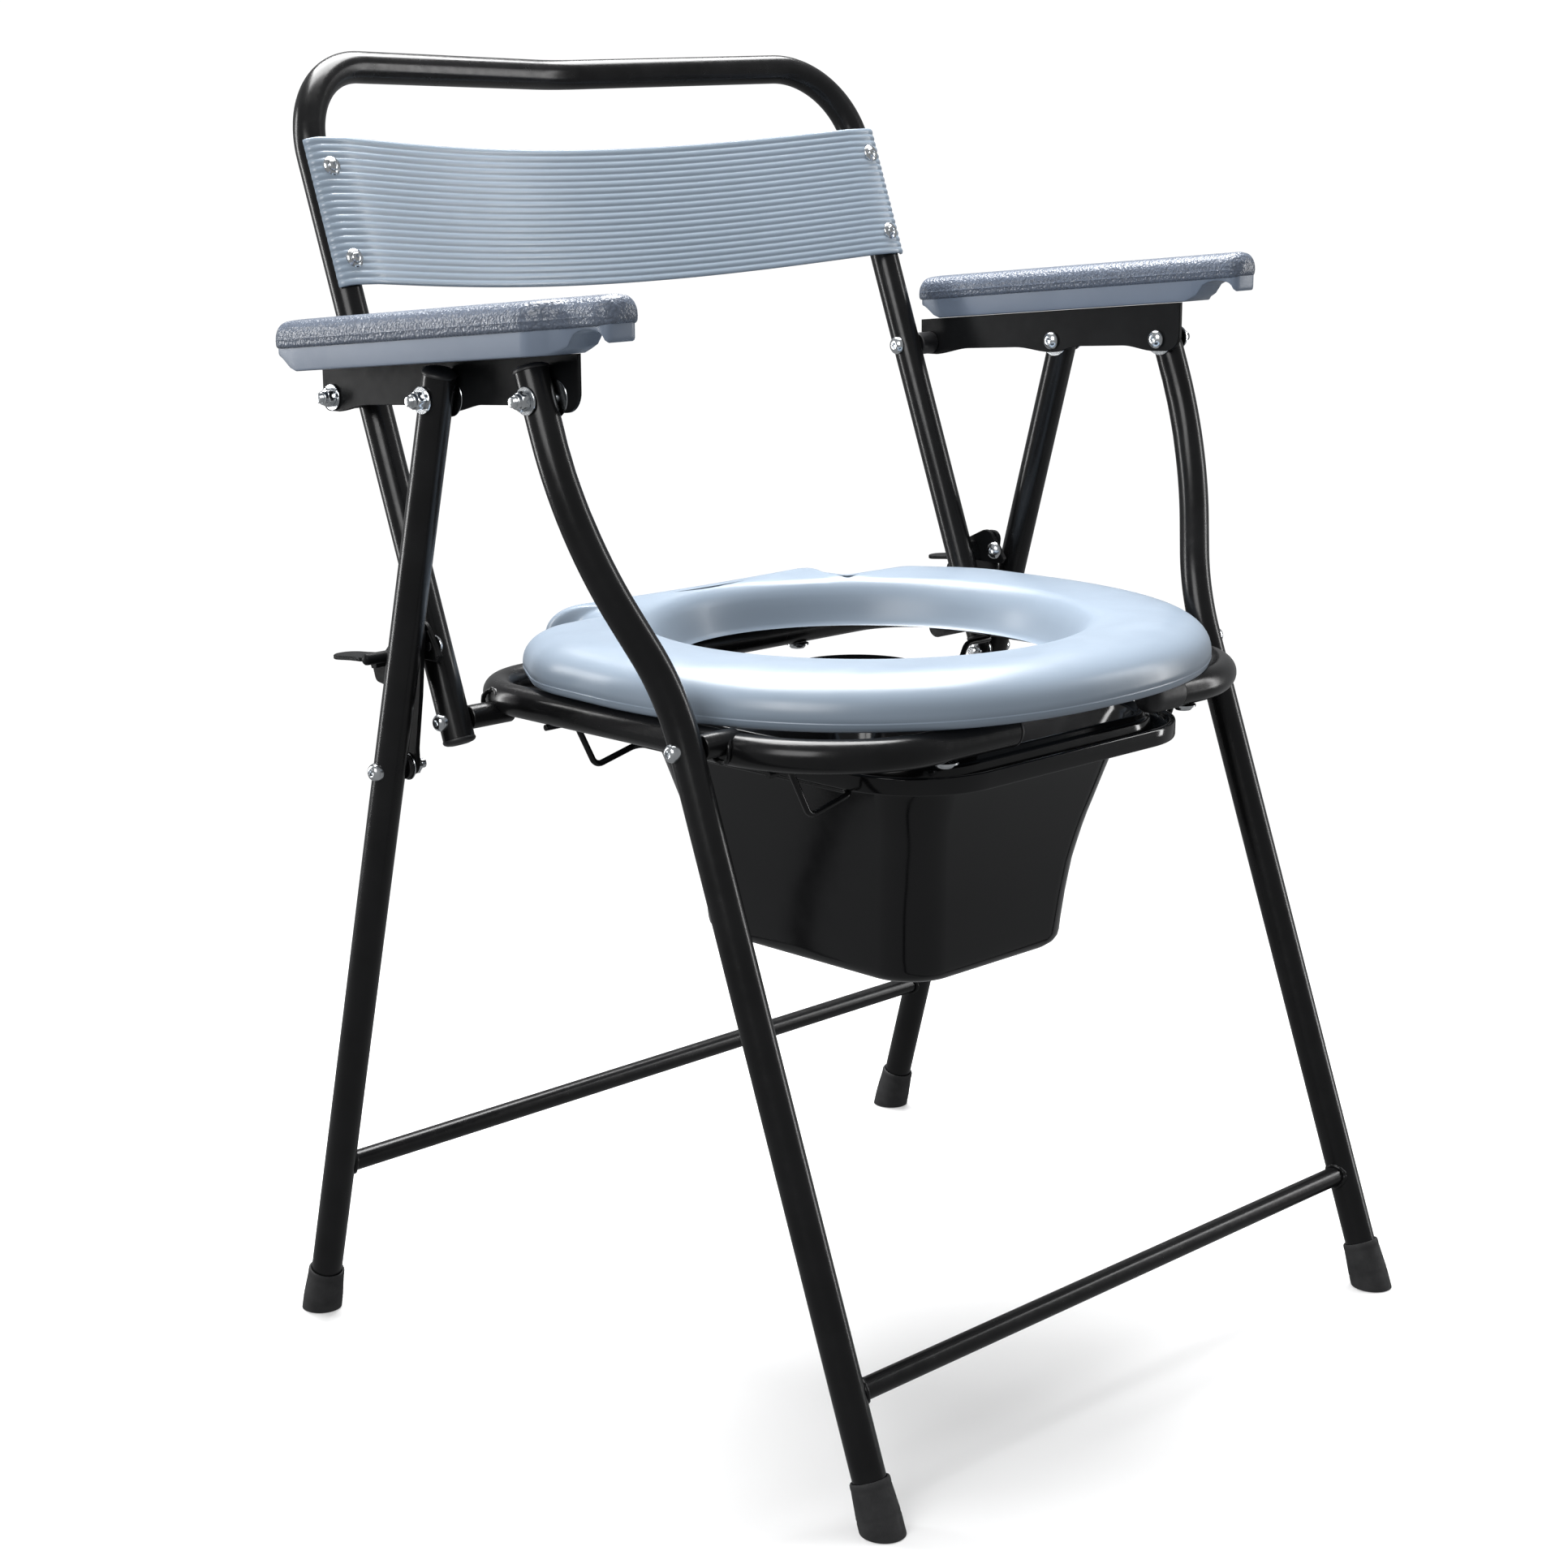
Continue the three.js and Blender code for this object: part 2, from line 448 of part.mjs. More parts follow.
// ---- bolts across the chair: profiles are [radius, x] ----
const PLATE_IN = PLATE_X - GAP, LEG_OUT = OUTER_X + TUBE_R + GAP, BACK_OUT = BACK_X + TUBE_R + GAP;
const BACK_IN = BACK_X - TUBE_R - GAP, FRONT_OUT = FRONT_X + TUBE_R + GAP;
const domeNut = (x) => [[8.5, x], [8.5, x + 1.5], [6, x + 1.5], [6, x + 5], [4.2, x + 7.6], [0, x + 8.4]];
const buttonHead = (x) => [[0, x - 3.8], [3.8, x - 3.8], [6.2, x - 1.8], [6.5, x], [SHANK_R, x]];
const legBolt = (at) => turnedAcross([...buttonHead(PLATE_IN), [SHANK_R, LEG_OUT], ...domeNut(LEG_OUT)], at);
addPair("armrest_bolt_front", "zinc_steel", legBolt(ARM_FRONT));
addPair("armrest_bolt_mid", "zinc_steel", legBolt(ARM_MID));
const plateOut = PLATE_X + PLATE_T + GAP;
addPair("armrest_bolt_rear", "zinc_steel",
  turnedAcross([...buttonHead(BACK_IN), [SHANK_R, plateOut], ...domeNut(plateOut)], ARM_PIVOT));
const spacer = (at, x0, x1, r) => crossRod(at, x0, x1, r).subtract(acrossHole(at, x0 - 1, x1 + 1));
addPair("armrest_spacer", "spacer_black", spacer(ARM_PIVOT, BACK_OUT, PLATE_IN, 8));

const flatHead = (x, h) => [[8.3, x], [8.3, x + 1.2], [6, x + 1.2], [5.2, x + h], [0, x + h]];
const seatBolt = (at, tip, out) => turnedAcross([[0, tip], [SHANK_R, tip], [SHANK_R, out], ...flatHead(out, 3.9)], at);
addPair("seat_bolt_rear", "zinc_steel", seatBolt(SEAT_PIVOT, 212, BACK_OUT));
addPair("seat_bolt_front", "zinc_steel", seatBolt(SEAT_FRONT, 212, FRONT_OUT));

// ---- lock ----
const BRACKET_T = 3, BRACKET_X = BACK_OUT + 5.4;
const bracket = plate([[82, 455, 2], [84.5, 451.5, 2], [110, 451.5, 2], [118, 467, 3], [97, 477, 7]],
  BRACKET_X, BRACKET_X + BRACKET_T)
  .add(plate([[82.4, 455], [84.6, 454], [94.8, 469], [92.6, 470]], BRACKET_X, BRACKET_X + BRACKET_T + 1.2))
  .add(plate([[103, 452.5], [109, 452.5], [115, 466], [109, 466]], BACK_OUT, BRACKET_X + 1))
  .subtract(acrossHole(LOCK_PIN, BRACKET_X - 2, BRACKET_X + BRACKET_T + 4));
addPair("lock_bracket", "frame_black", bracket);
addPair("lock_pin", "zinc_steel", turnedAcross([
  ...buttonHead(BRACKET_X - GAP), [SHANK_R, BRACKET_X + BRACKET_T + 1.6], [0, BRACKET_X + BRACKET_T + 1.6],
], LOCK_PIN));

const ROD_AT = [116, 453], ROD_END_X = 292, ROD_R = 3.6, PADDLE_W = 20;
const LOCK_LEG_X = rearLegX(LOCK_PIVOT[1]), LOCK_OUT = LOCK_LEG_X + TUBE_R + GAP;
const lockBar = crossRod(LOCK_PIVOT, BAR_X, BAR_X + BAR_T, 9.5, 16)
  .add(plate([
    [102.5, 386], [118.5, 386], [113.5, 429, 6], [140, 433, 4], [143, 444, 5], [133, 450, 6], [124, 459, 5],
    [109, 461, 5], [105, 474, 5], [91, 474, 6], [96, 430],
  ], BAR_X, BAR_X + BAR_T))
  .add(crossRod(ROD_AT, BAR_X + 1, ROD_END_X, ROD_R, 12))
  .add(plate([
    [128, 438], [131.5, 438], [131.5, 446, 4], [134, 448, 2], [163, 446], [165.5, 447, 1], [164.5, 449.4, 1],
    [134, 452, 5], [128, 448, 4],
  ], BAR_X, BAR_X + PADDLE_W))
  .subtract(acrossHole(LOCK_PIVOT, BAR_X - 2, BAR_X + BAR_T + 2));
addPair("lock_bar", "frame_black", lockBar);
addPair("lock_bar_spacer", "spacer_black",
  spacer(LOCK_PIVOT, BAR_X + BAR_T + GAP, LOCK_LEG_X - TUBE_R - GAP, 7.5));
const lockNut = BAR_X - GAP;
addPair("lock_bar_bolt", "zinc_steel", turnedAcross([
  [0, lockNut - 8.6], [SHANK_R, lockNut - 8.6], [SHANK_R, lockNut - 5.2], [5, lockNut - 5.2], [5.6, lockNut - 4],
  [5.6, lockNut], [SHANK_R, lockNut], [SHANK_R, LOCK_OUT], [5.9, LOCK_OUT], [5.4, LOCK_OUT + 2.4],
  [3.2, LOCK_OUT + 4], [0, LOCK_OUT + 4],
], LOCK_PIVOT));

export default group;
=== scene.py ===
import math

import bmesh
import bpy
from mathutils import Matrix, Vector, noise


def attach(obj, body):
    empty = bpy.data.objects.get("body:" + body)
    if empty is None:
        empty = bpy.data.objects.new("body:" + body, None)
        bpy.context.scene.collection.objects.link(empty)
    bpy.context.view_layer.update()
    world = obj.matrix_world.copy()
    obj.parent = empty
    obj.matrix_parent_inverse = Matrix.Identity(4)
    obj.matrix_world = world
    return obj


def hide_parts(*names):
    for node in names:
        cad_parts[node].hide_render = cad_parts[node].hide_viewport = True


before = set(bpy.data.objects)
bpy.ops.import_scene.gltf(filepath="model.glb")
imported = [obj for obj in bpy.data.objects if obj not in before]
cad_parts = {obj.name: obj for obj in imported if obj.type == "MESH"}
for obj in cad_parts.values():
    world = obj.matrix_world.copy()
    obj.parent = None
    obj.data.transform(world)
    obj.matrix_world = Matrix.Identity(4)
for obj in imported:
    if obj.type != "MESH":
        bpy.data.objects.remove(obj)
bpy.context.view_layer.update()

MM = 0.001
PI = math.pi
scene = bpy.context.scene

# ---------------------------------------------------------------- dimensions, mm (as the CAD frame)
TUBE_R, BAR_R = 10.0, 6.5
FRONT_X, OUTER_X, BACK_X, REAR_FOOT_X = 241.0, 282.2, 242.0, 277.5
SEAT_PIVOT, SEAT_FRONT = (94.0, 411.3), (-114.3, 424.8)
ARM_REAR, ARM_FRONT, ARM_MID = (164.6, 606.4), (-43.7, 619.9), (49.6, 613.9)
LOCK_PIVOT, LOCK_PIN = (110.0, 384.0), (91.0, 460.5)
PLATE_X0, PLATE_X1 = 268.6, 271.6
BAR_X0, BAR_X1 = 263.0, 266.0
LOOP_Z = 420.0
FRONT_BAR_Z, REAR_BAR_Z, STRAP_Z = 73.5, 107, 712


def front_leg_y(z): return -268 + 0.3612 * z
def rear_leg_y(z): return 210.8 - 0.2626 * z
def rear_leg_x(z): return REAR_FOOT_X + (OUTER_X - REAR_FOOT_X) * z / 628
def back_y(z): return 88.8 + 0.3625 * (z - 398)
def pad_bottom(y): return 623.8 + (165 - y) * 0.097


def smooth(a, b, x):
    t = min(1.0, max(0.0, (x - a) / (b - a)))
    return t * t * (3 - 2 * t)


FRONT_DIR = Vector((0, 0.3612, 1)).normalized()
BACK_DIR = Vector((0, 0.3625, 1)).normalized()
BACK_NORMAL = Vector((0, 1, -0.3625)).normalized()
FRONT_LEG = [Vector((FRONT_X, front_leg_y(6), 6)), Vector((FRONT_X, front_leg_y(455), 455)),
             Vector((OUTER_X, front_leg_y(548) + 2, 548)), Vector((OUTER_X, front_leg_y(635) + 2, 635))]
REAR_LEG = [Vector((rear_leg_x(z), rear_leg_y(z), z)) for z in (6, 628)]
REAR_DIR = (REAR_LEG[1] - REAR_LEG[0]).normalized()
BACK_SIDE = [Vector((BACK_X, 89.7, 400.5)), Vector((BACK_X, back_y(803.6), 803.6))]
flip = lambda p: Vector((-p.x, p.y, p.z))
BACK_PATH = [*BACK_SIDE, Vector((0, 272.6, 798)), flip(BACK_SIDE[1]), flip(BACK_SIDE[0])]
LOOP_PATH = [Vector(p) for p in ((100, -196, LOOP_Z), (205, -196, LOOP_Z), (205, 129, LOOP_Z),
                                 (-205, 129, LOOP_Z), (-205, -196, LOOP_Z), (-58, -196, LOOP_Z))]


# ---------------------------------------------------------------- materials
def new_material(name):
    mat = bpy.data.materials.new(name)
    mat.use_nodes = True
    nodes = mat.node_tree.nodes
    return mat, nodes, mat.node_tree.links, nodes["Principled BSDF"]


def noise_node(nodes, links, coord, scale, detail=4.0, rough=0.55):
    n = nodes.new("ShaderNodeTexNoise")
    n.inputs["Scale"].default_value = scale
    n.inputs["Detail"].default_value = detail
    n.inputs["Roughness"].default_value = rough
    links.new(coord, n.inputs["Vector"])
    return n.outputs["Fac"]


def ramp(nodes, links, value, stops):
    r = nodes.new("ShaderNodeValToRGB")
    while len(r.color_ramp.elements) < len(stops):
        r.color_ramp.elements.new(0.5)
    for e, (pos, colour) in zip(r.color_ramp.elements, stops):
        e.position = pos
        e.color = (*colour, 1) if len(colour) == 3 else (colour[0],) * 3 + (1,)
    links.new(value, r.inputs["Fac"])
    return r.outputs["Color"]


def spread(nodes, links, value, low, high):
    m = nodes.new("ShaderNodeMapRange")
    m.inputs["From Min"].default_value = 0.3
    m.inputs["From Max"].default_value = 0.7
    m.inputs["To Min"].default_value = low
    m.inputs["To Max"].default_value = high
    links.new(value, m.inputs["Value"])
    return m.outputs["Result"]


def bump(nodes, links, height, strength, distance, before=None):
    b = nodes.new("ShaderNodeBump")
    b.inputs["Strength"].default_value = strength
    b.inputs["Distance"].default_value = distance
    links.new(height, b.inputs["Height"])
    if before is not None:
        links.new(before, b.inputs["Normal"])
    return b.outputs["Normal"]


def finish_material(name, dark, light, rough, metallic=0.0, colour_scale=30.0, peel=(900.0, 0.15, 0.0001),
                    specular=0.5, ior=1.5):
    """Smooth finish: a little colour and gloss variation, and a fine surface relief.
    rough is the range of roughness; peel is the relief's scale, strength and distance."""
    mat, nodes, links, bsdf = new_material(name)
    coord = nodes.new("ShaderNodeTexCoord").outputs["Object"]
    broad = noise_node(nodes, links, coord, colour_scale)
    links.new(ramp(nodes, links, broad, [(0.35, dark), (0.65, light)]), bsdf.inputs["Base Color"])
    fine = noise_node(nodes, links, coord, colour_scale * 5, 6.0)
    links.new(spread(nodes, links, fine, *rough), bsdf.inputs["Roughness"])
    bsdf.inputs["Metallic"].default_value = metallic
    bsdf.inputs["Specular IOR Level"].default_value = specular
    bsdf.inputs["IOR"].default_value = ior
    scale, strength, distance = peel
    grain = noise_node(nodes, links, coord, scale, 3.0)
    links.new(bump(nodes, links, grain, strength, distance), bsdf.inputs["Normal"])
    return mat


def grained_material(name, low, mid, high, rough):
    """Moulded leather grain: pebbles from cells, with painted shade darkening the valleys and the pebble tops
    painted lighter.
    """
    mat, nodes, links, bsdf = new_material(name)
    coord = nodes.new("ShaderNodeTexCoord").outputs["Object"]
    warp = nodes.new("ShaderNodeTexNoise")
    warp.inputs["Scale"].default_value = 260.0
    links.new(coord, warp.inputs["Vector"])
    mixed = nodes.new("ShaderNodeVectorMath")
    mixed.operation = "MULTIPLY_ADD"
    links.new(warp.outputs["Color"], mixed.inputs[0])
    mixed.inputs[1].default_value = (0.004, 0.004, 0.004)
    links.new(coord, mixed.inputs[2])
    cells = nodes.new("ShaderNodeTexVoronoi")
    cells.feature = "SMOOTH_F1"
    cells.inputs["Scale"].default_value = 520.0
    cells.inputs["Smoothness"].default_value = 0.35
    links.new(mixed.outputs["Vector"], cells.inputs["Vector"])
    # Painted shade: the colour goes from light on the pebble tops to dark in the valleys between the cells.
    links.new(ramp(nodes, links, cells.outputs["Distance"], [(0.1, high), (0.45, mid), (0.8, low)]),
              bsdf.inputs["Base Color"])
    links.new(spread(nodes, links, cells.outputs["Distance"], *rough), bsdf.inputs["Roughness"])
    inverted = nodes.new("ShaderNodeMath")
    inverted.operation = "SUBTRACT"
    inverted.inputs[0].default_value = 1.0
    links.new(cells.outputs["Distance"], inverted.inputs[1])
    fine = noise_node(nodes, links, coord, 1500.0, 4.0)
    small = bump(nodes, links, fine, 0.12, 0.0001)
    links.new(bump(nodes, links, inverted.outputs["Value"], 0.75, 0.0006, small), bsdf.inputs["Normal"])
    return mat


PAINT = finish_material("frame_black_paint", (0.0045, 0.0045, 0.0048), (0.0075, 0.0075, 0.008), (0.20, 0.28),
                        peel=(420.0, 0.05, 0.00012), ior=1.36)
BRACKET_PAINT = finish_material("bracket_black_paint", (0.005, 0.0052, 0.0056), (0.008, 0.0084, 0.009),
                                (0.36, 0.46), peel=(800.0, 0.15, 0.0002), specular=0.15, ior=1.33)
ZINC = finish_material("zinc_plate", (0.55, 0.57, 0.59), (0.70, 0.72, 0.74), (0.16, 0.24), metallic=1.0,
                       colour_scale=220.0, peel=(1600.0, 0.04, 0.00005))
STRAP_BLUE = finish_material("strap_blue_sheet", (0.262, 0.320, 0.385), (0.280, 0.340, 0.410), (0.22, 0.27),
                             colour_scale=9.0, peel=(300.0, 0.05, 0.00012))
SEAT_BLUE = finish_material("seat_blue_moulding", (0.228, 0.280, 0.345), (0.244, 0.300, 0.368), (0.28, 0.36),
                            colour_scale=9.0, peel=(700.0, 0.06, 0.00012))
PAD_SIDE = finish_material("pad_blue_side", (0.150, 0.185, 0.245), (0.165, 0.202, 0.265), (0.36, 0.46),
                           colour_scale=14.0, peel=(1100.0, 0.10, 0.00012))
PAD_GRAIN = grained_material("pad_blue_grain", (0.080, 0.096, 0.128), (0.105, 0.126, 0.168),
                             (0.125, 0.150, 0.196), (0.24, 0.34))
BUCKET_BLACK = finish_material("bucket_gloss_black", (0.0045, 0.0045, 0.005), (0.006, 0.006, 0.0065),
                               (0.10, 0.15), colour_scale=12.0, peel=(90.0, 0.03, 0.0003), ior=1.42)
RUBBER = finish_material("boot_rubber_matt", (0.018, 0.018, 0.019), (0.030, 0.030, 0.031), (0.62, 0.80),
                         colour_scale=60.0, peel=(1400.0, 0.35, 0.0002), specular=0.3)
PLUG = finish_material("plug_black_moulding", (0.010, 0.010, 0.011), (0.015, 0.015, 0.016), (0.40, 0.55),
                       colour_scale=60.0, peel=(1200.0, 0.2, 0.0002))


# ---------------------------------------------------------------- mesh building
def bent(corners, radii, step=0.09):
    """Stations [point, tangent] along corners with filleted bends."""
    out = []
    for i, b in enumerate(corners):
        if i in (0, len(corners) - 1):
            d = corners[1] - b if i == 0 else b - corners[-2]
            out.append((b.copy(), d.normalized()))
            continue
        d1, d2 = (b - corners[i - 1]).normalized(), (corners[i + 1] - b).normalized()
        turn, r = d1.angle(d2), radii[i - 1]
        axis = d1.cross(d2).normalized()
        start = b - d1 * (r * math.tan(turn / 2))
        centre = start + axis.cross(d1) * r
        n = max(3, math.ceil(turn / step))
        for k in range(n + 1):
            m = Matrix.Rotation(turn * k / n, 3, axis)
            out.append((m @ (start - centre) + centre, m @ d1))
    return out


def lengthen(stations, step):
    """Adds stations on the long straight runs."""
    out = [stations[0]]
    for (p, t), (q, u) in zip(stations, stations[1:]):
        n = int((q - p).length // step)
        for k in range(1, n):
            out.append((p.lerp(q, k / n), t.lerp(u, k / n).normalized()))
        out.append((q, u))
    return out


def in_side_plane(y, z, x): return Vector((x, y, z))


class Shape:
    """Points and faces in mm; mark is the material number of the faces added next."""

    def __init__(self):
        self.verts, self.faces, self.marks, self.mark = [], [], [], 0

    def add(self, verts, faces):
        base = len(self.verts)
        self.verts += [Vector(v) for v in verts]
        self.faces += [[base + i for i in f] for f in faces]
        self.marks += [self.mark] * len(faces)
        return self

    def skin(self, rows, loop=False):
        """Faces between closed rows of points, with an end cap on each end unless the rows form a loop."""
        n, m = len(rows[0]), len(rows)
        faces = []
        for i in range(m if loop else m - 1):
            a, b = i * n, ((i + 1) % m) * n
            faces += [[a + j, a + (j + 1) % n, b + (j + 1) % n, b + j] for j in range(n)]
        if not loop:
            faces += [list(range(n))[::-1], list(range((m - 1) * n, m * n))]
        return self.add([v for row in rows for v in row], faces)

    def sweep(self, stations, radius, sides=28):
        """radius is a number, or a function of (station index, angle, point, outward)."""
        t0 = stations[0][1]
        side = t0.orthogonal().normalized()
        rows, last = [], t0
        for i, (p, t) in enumerate(stations):
            side = last.rotation_difference(t) @ side
            side = (side - t * side.dot(t)).normalized()
            last, other = t, t.cross(side)
            row = []
            for j in range(sides):
                a = 2 * PI * j / sides
                out = side * math.cos(a) + other * math.sin(a)
                row.append(p + out * (radius if isinstance(radius, (int, float)) else radius(i, a, p, out)))
            rows.append(row)
        return self.skin(rows)

    def turn(self, profile, origin, axis, seg=48, twist=0.0):
        """profile rows: (radius, along) round, or (flat-to-centre, along, 6) hexagonal."""
        axis = Vector(axis).normalized()
        side = axis.orthogonal().normalized()
        other = axis.cross(side)
        origin = Vector(origin)
        rows = []
        for r, h, *kind in profile:
            row = []
            for j in range(seg):
                a = 2 * PI * j / seg
                k = r / math.cos((a % (PI / 3)) - PI / 6) if kind else r
                b = a + twist
                row.append(origin + axis * h + (side * math.cos(b) + other * math.sin(b)) * k)
            rows.append(row)
        return self.skin(rows)

    def across(self, profile, at, seg=48, twist=0.0):
        """turn about the x axis through at, which is (y, z)."""
        return self.turn(profile, (0, at[0], at[1]), (1, 0, 0), seg, twist)

    def prism(self, outline, place, low, high, bevel=0.4):
        """A plate with softened edges. place(u, v, w) gives the point."""
        n = len(outline)
        area = sum(outline[i][0] * outline[(i + 1) % n][1] - outline[(i + 1) % n][0] * outline[i][1]
                   for i in range(n))
        sign = 1 if area > 0 else -1
        inset = []
        for i in range(n):
            a, b, c = (Vector(outline[(i + k) % n]) for k in (-1, 0, 1))
            d1, d2 = (b - a).normalized(), (c - b).normalized()
            nrm = Vector((-(d1.y + d2.y), d1.x + d2.x)) * sign
            nrm = nrm.normalized() if nrm.length > 1e-6 else Vector((-d1.y, d1.x)) * sign
            cosine = max(0.4, nrm.dot(Vector((-d1.y, d1.x)) * sign))
            inset.append(b + nrm * bevel / cosine)
        rows = [[place(*p, low) for p in inset], [place(*p, low + bevel) for p in outline],
                [place(*p, high - bevel) for p in outline], [place(*p, high) for p in inset]]
        return self.skin(rows)

    def plate(self, corners, x0, x1, bevel=0.4, step=0.25):
        return self.prism(rounded(corners, step), in_side_plane, x0, x1, bevel)


def rounded(corners, step=0.25):
    """A closed outline from corners (u, v) or (u, v, fillet radius)."""
    pts, n = [], len(corners)
    for i, (x, y, *r) in enumerate(corners):
        r = r[0] if r else 0
        b = Vector((x, y))
        d1 = (b - Vector(corners[i - 1][:2])).normalized()
        d2 = (Vector(corners[(i + 1) % n][:2]) - b).normalized()
        turn = math.atan2(d1.x * d2.y - d1.y * d2.x, d1.dot(d2))
        if r == 0 or abs(turn) < 0.02:
            pts.append(b)
            continue
        s = 1 if turn > 0 else -1
        start = b - d1 * (r * math.tan(abs(turn) / 2))
        centre = start + Vector((-d1.y, d1.x)) * r * s
        k = max(2, math.ceil(abs(turn) / step))
        for j in range(k + 1):
            m = Matrix.Rotation(turn * j / k, 2)
            pts.append(m @ (start - centre) + centre)
    return pts


def piece(name, shape, body, nodes, mats, sharp=38, mirror=False):
    """Makes the object from a shape, hangs it under its body and hides the CAD parts it stands in for."""
    verts = [Vector((-v.x if mirror else v.x, v.y, v.z)) * MM for v in shape.verts]
    mesh = bpy.data.meshes.new(name)
    mesh.from_pydata(verts, [], shape.faces)
    for m in mats:
        mesh.materials.append(m)
    mesh.polygons.foreach_set("material_index", shape.marks)
    bm = bmesh.new()
    bm.from_mesh(mesh)
    bmesh.ops.remove_doubles(bm, verts=bm.verts, dist=1e-7)
    bmesh.ops.recalc_face_normals(bm, faces=bm.faces)
    bm.to_mesh(mesh)
    bm.free()
    mesh.polygons.foreach_set("use_smooth", [True] * len(mesh.polygons))
    mesh.set_sharp_from_angle(angle=math.radians(sharp))
    ob = bpy.data.objects.new(name, mesh)
    scene.collection.objects.link(ob)
    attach(ob, body)
    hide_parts(*nodes)
    return ob


def pair(name, shape, body, nodes, mats, sharp=38):
    """Left as built, right mirrored. {} in body and nodes stands for the side."""
    for side in ("left", "right"):
        piece(f"{name}_{side}", shape, body.format(side), [n.format(side) for n in nodes], mats, sharp,
              side == "right")


# ---------------------------------------------------------------- small hardware
def button_head(shape, x, at, towards=1, r=6.4, twist=0.3):
    """Domed socket head whose flat side is at x; towards=+1 means the head stands out in +X."""
    s = towards
    rows = [(0, x), (r - 0.3, x), (r, x + s * 0.3), (r * 0.97, x + s * 1.0), (r * 0.86, x + s * 2.0),
            (r * 0.68, x + s * 2.9), (r * 0.5, x + s * 3.35), (r * 0.47, x + s * 3.45),
            (2.0, x + s * 3.4, 6), (1.9, x + s * 1.4, 6), (0, x + s * 1.1)]
    shape.across(rows, at, 48, twist)


def washer(shape, x0, x1, at, r, bore=3.1):
    e = 0.2
    shape.across([(bore, x0), (r - e, x0), (r, x0 + e), (r, x1 - e), (r - e, x1), (bore, x1)], at)


COLLAR_END, THREAD_PITCH = 7.2, 0.5


def lock_nut(shape, x, at, twist=0.2, half=5.0, tip=3.4):
    """Hexagon nut with a round collar and the bolt's threaded end standing out of it, towards +X."""
    rows = [(0, x), (half - 0.2, x), (half, x + 0.3, 6), (half, x + 4.2, 6), (half - 0.05, x + 4.7),
            (half - 0.5, x + 4.9), (4.4, x + 5.2), (4.3, x + 6.4), (3.9, x + 7.0), (3.3, x + 7.2),
            (3.05, x + 7.0), (3.0, x + 7.2)]
    h = x + COLLAR_END
    while h < x + COLLAR_END + tip - 0.8:
        rows += [(2.7, h + 0.2), (3.0, h + 0.45)]
        h += THREAD_PITCH
    rows += [(2.6, h + 0.5), (2.3, h + 0.6), (0, h + 0.6)]
    shape.across(rows, at, 48, twist)


def shank(shape, x0, x1, at, r=3.0):
    shape.across([(0, x0), (r, x0), (r, x1), (0, x1)], at, 24)


BEAD_OUT = 0.5


def weld_bead(shape, centre, rod_r, tube_dir, tube_r, towards, seed):
    """A bead round the rod where it meets the tube. towards is the unit vector from the tube to the rod."""
    up = tube_dir.normalized()
    across_dir = towards.cross(up).normalized()
    pts, count = [], 40
    for j in range(count):
        a = 2 * PI * j / count
        u, w = math.cos(a) * (rod_r + BEAD_OUT), math.sin(a) * (rod_r + BEAD_OUT)
        depth = math.sqrt(max(0.0, (tube_r + BEAD_OUT) ** 2 - min(abs(u), tube_r) ** 2))
        pts.append(centre + across_dir * u + up * w + towards * depth)
    rows = []
    for j, p in enumerate(pts):
        t = (pts[(j + 1) % count] - pts[j - 1]).normalized()
        o = (p - centre - towards * (p - centre).dot(towards)).normalized()
        b = t.cross(o).normalized()
        r = 1.5 + 0.45 * noise.noise(p * 0.35 + Vector((seed, 0, 0))) + 0.18 * math.sin(j * 2.1)
        spokes = [(math.cos(2 * PI * k / 10), math.sin(2 * PI * k / 10)) for k in range(10)]
        rows.append([p + (o * c + b * w) * r for c, w in spokes])
    shape.skin(rows, loop=True)


# ---------------------------------------------------------------- legs
def wrinkle(i, a, p, out):
    """Small flats pressed into the inside of the upper bend."""
    r = TUBE_R
    inner = max(0.0, -out.x) ** 3
    for z, depth in ((560, 0.9), (575, 1.3), (590, 0.8)):
        r -= depth * inner * math.exp(-((p.z - z) / 4.5) ** 2)
    return r


front_leg = Shape().sweep(lengthen(bent(FRONT_LEG, [150, 280], 0.03), 8), wrinkle, 36)
rear_leg = Shape().sweep(lengthen(bent(REAR_LEG, []), 60), TUBE_R, 36)
pair("leg_front", front_leg, "front_leg_frame", ["front_leg_tube_{}"], [PAINT])
pair("leg_rear", rear_leg, "rear_leg_frame", ["rear_leg_tube_{}"], [PAINT])


def boot(origin, direction):
    """A rubber boot on the leg, cut flat where it meets the floor."""
    rows = [(0, -12), (13.0, -12), (13.0, 1.5), (12.75, 3.0), (12.9, 4.2), (12.8, 5.4), (11.9, 18.5),
            (11.75, 20.0), (11.9, 21.0), (11.8, 23.2), (11.4, 24.0), (10.6, 24.2), (10.15, 23.6), (10.15, 4),
            (0, 4)]
    shape = Shape().turn(rows, origin, direction, 64)
    bm = bmesh.new()
    vs = [bm.verts.new(v) for v in shape.verts]
    for f in shape.faces:
        bm.faces.new([vs[i] for i in f])
    cut = bmesh.ops.bisect_plane(bm, geom=bm.verts[:] + bm.edges[:] + bm.faces[:], plane_co=(0, 0, 0),
                                 plane_no=(0, 0, -1), clear_outer=True)
    bmesh.ops.edgeloop_fill(bm, edges=[g for g in cut["geom_cut"] if isinstance(g, bmesh.types.BMEdge)])
    bm.verts.index_update()
    out = Shape().add([v.co.copy() for v in bm.verts], [[v.index for v in f.verts] for f in bm.faces])
    bm.free()
    return out


for which, foot, direction in (("front", FRONT_LEG[0], FRONT_DIR), ("rear", REAR_LEG[0], REAR_DIR)):
    pair(f"boot_{which}", boot(foot, direction), f"{which}_leg_frame", [f"{which}_boot_{{}}"],
         [RUBBER])

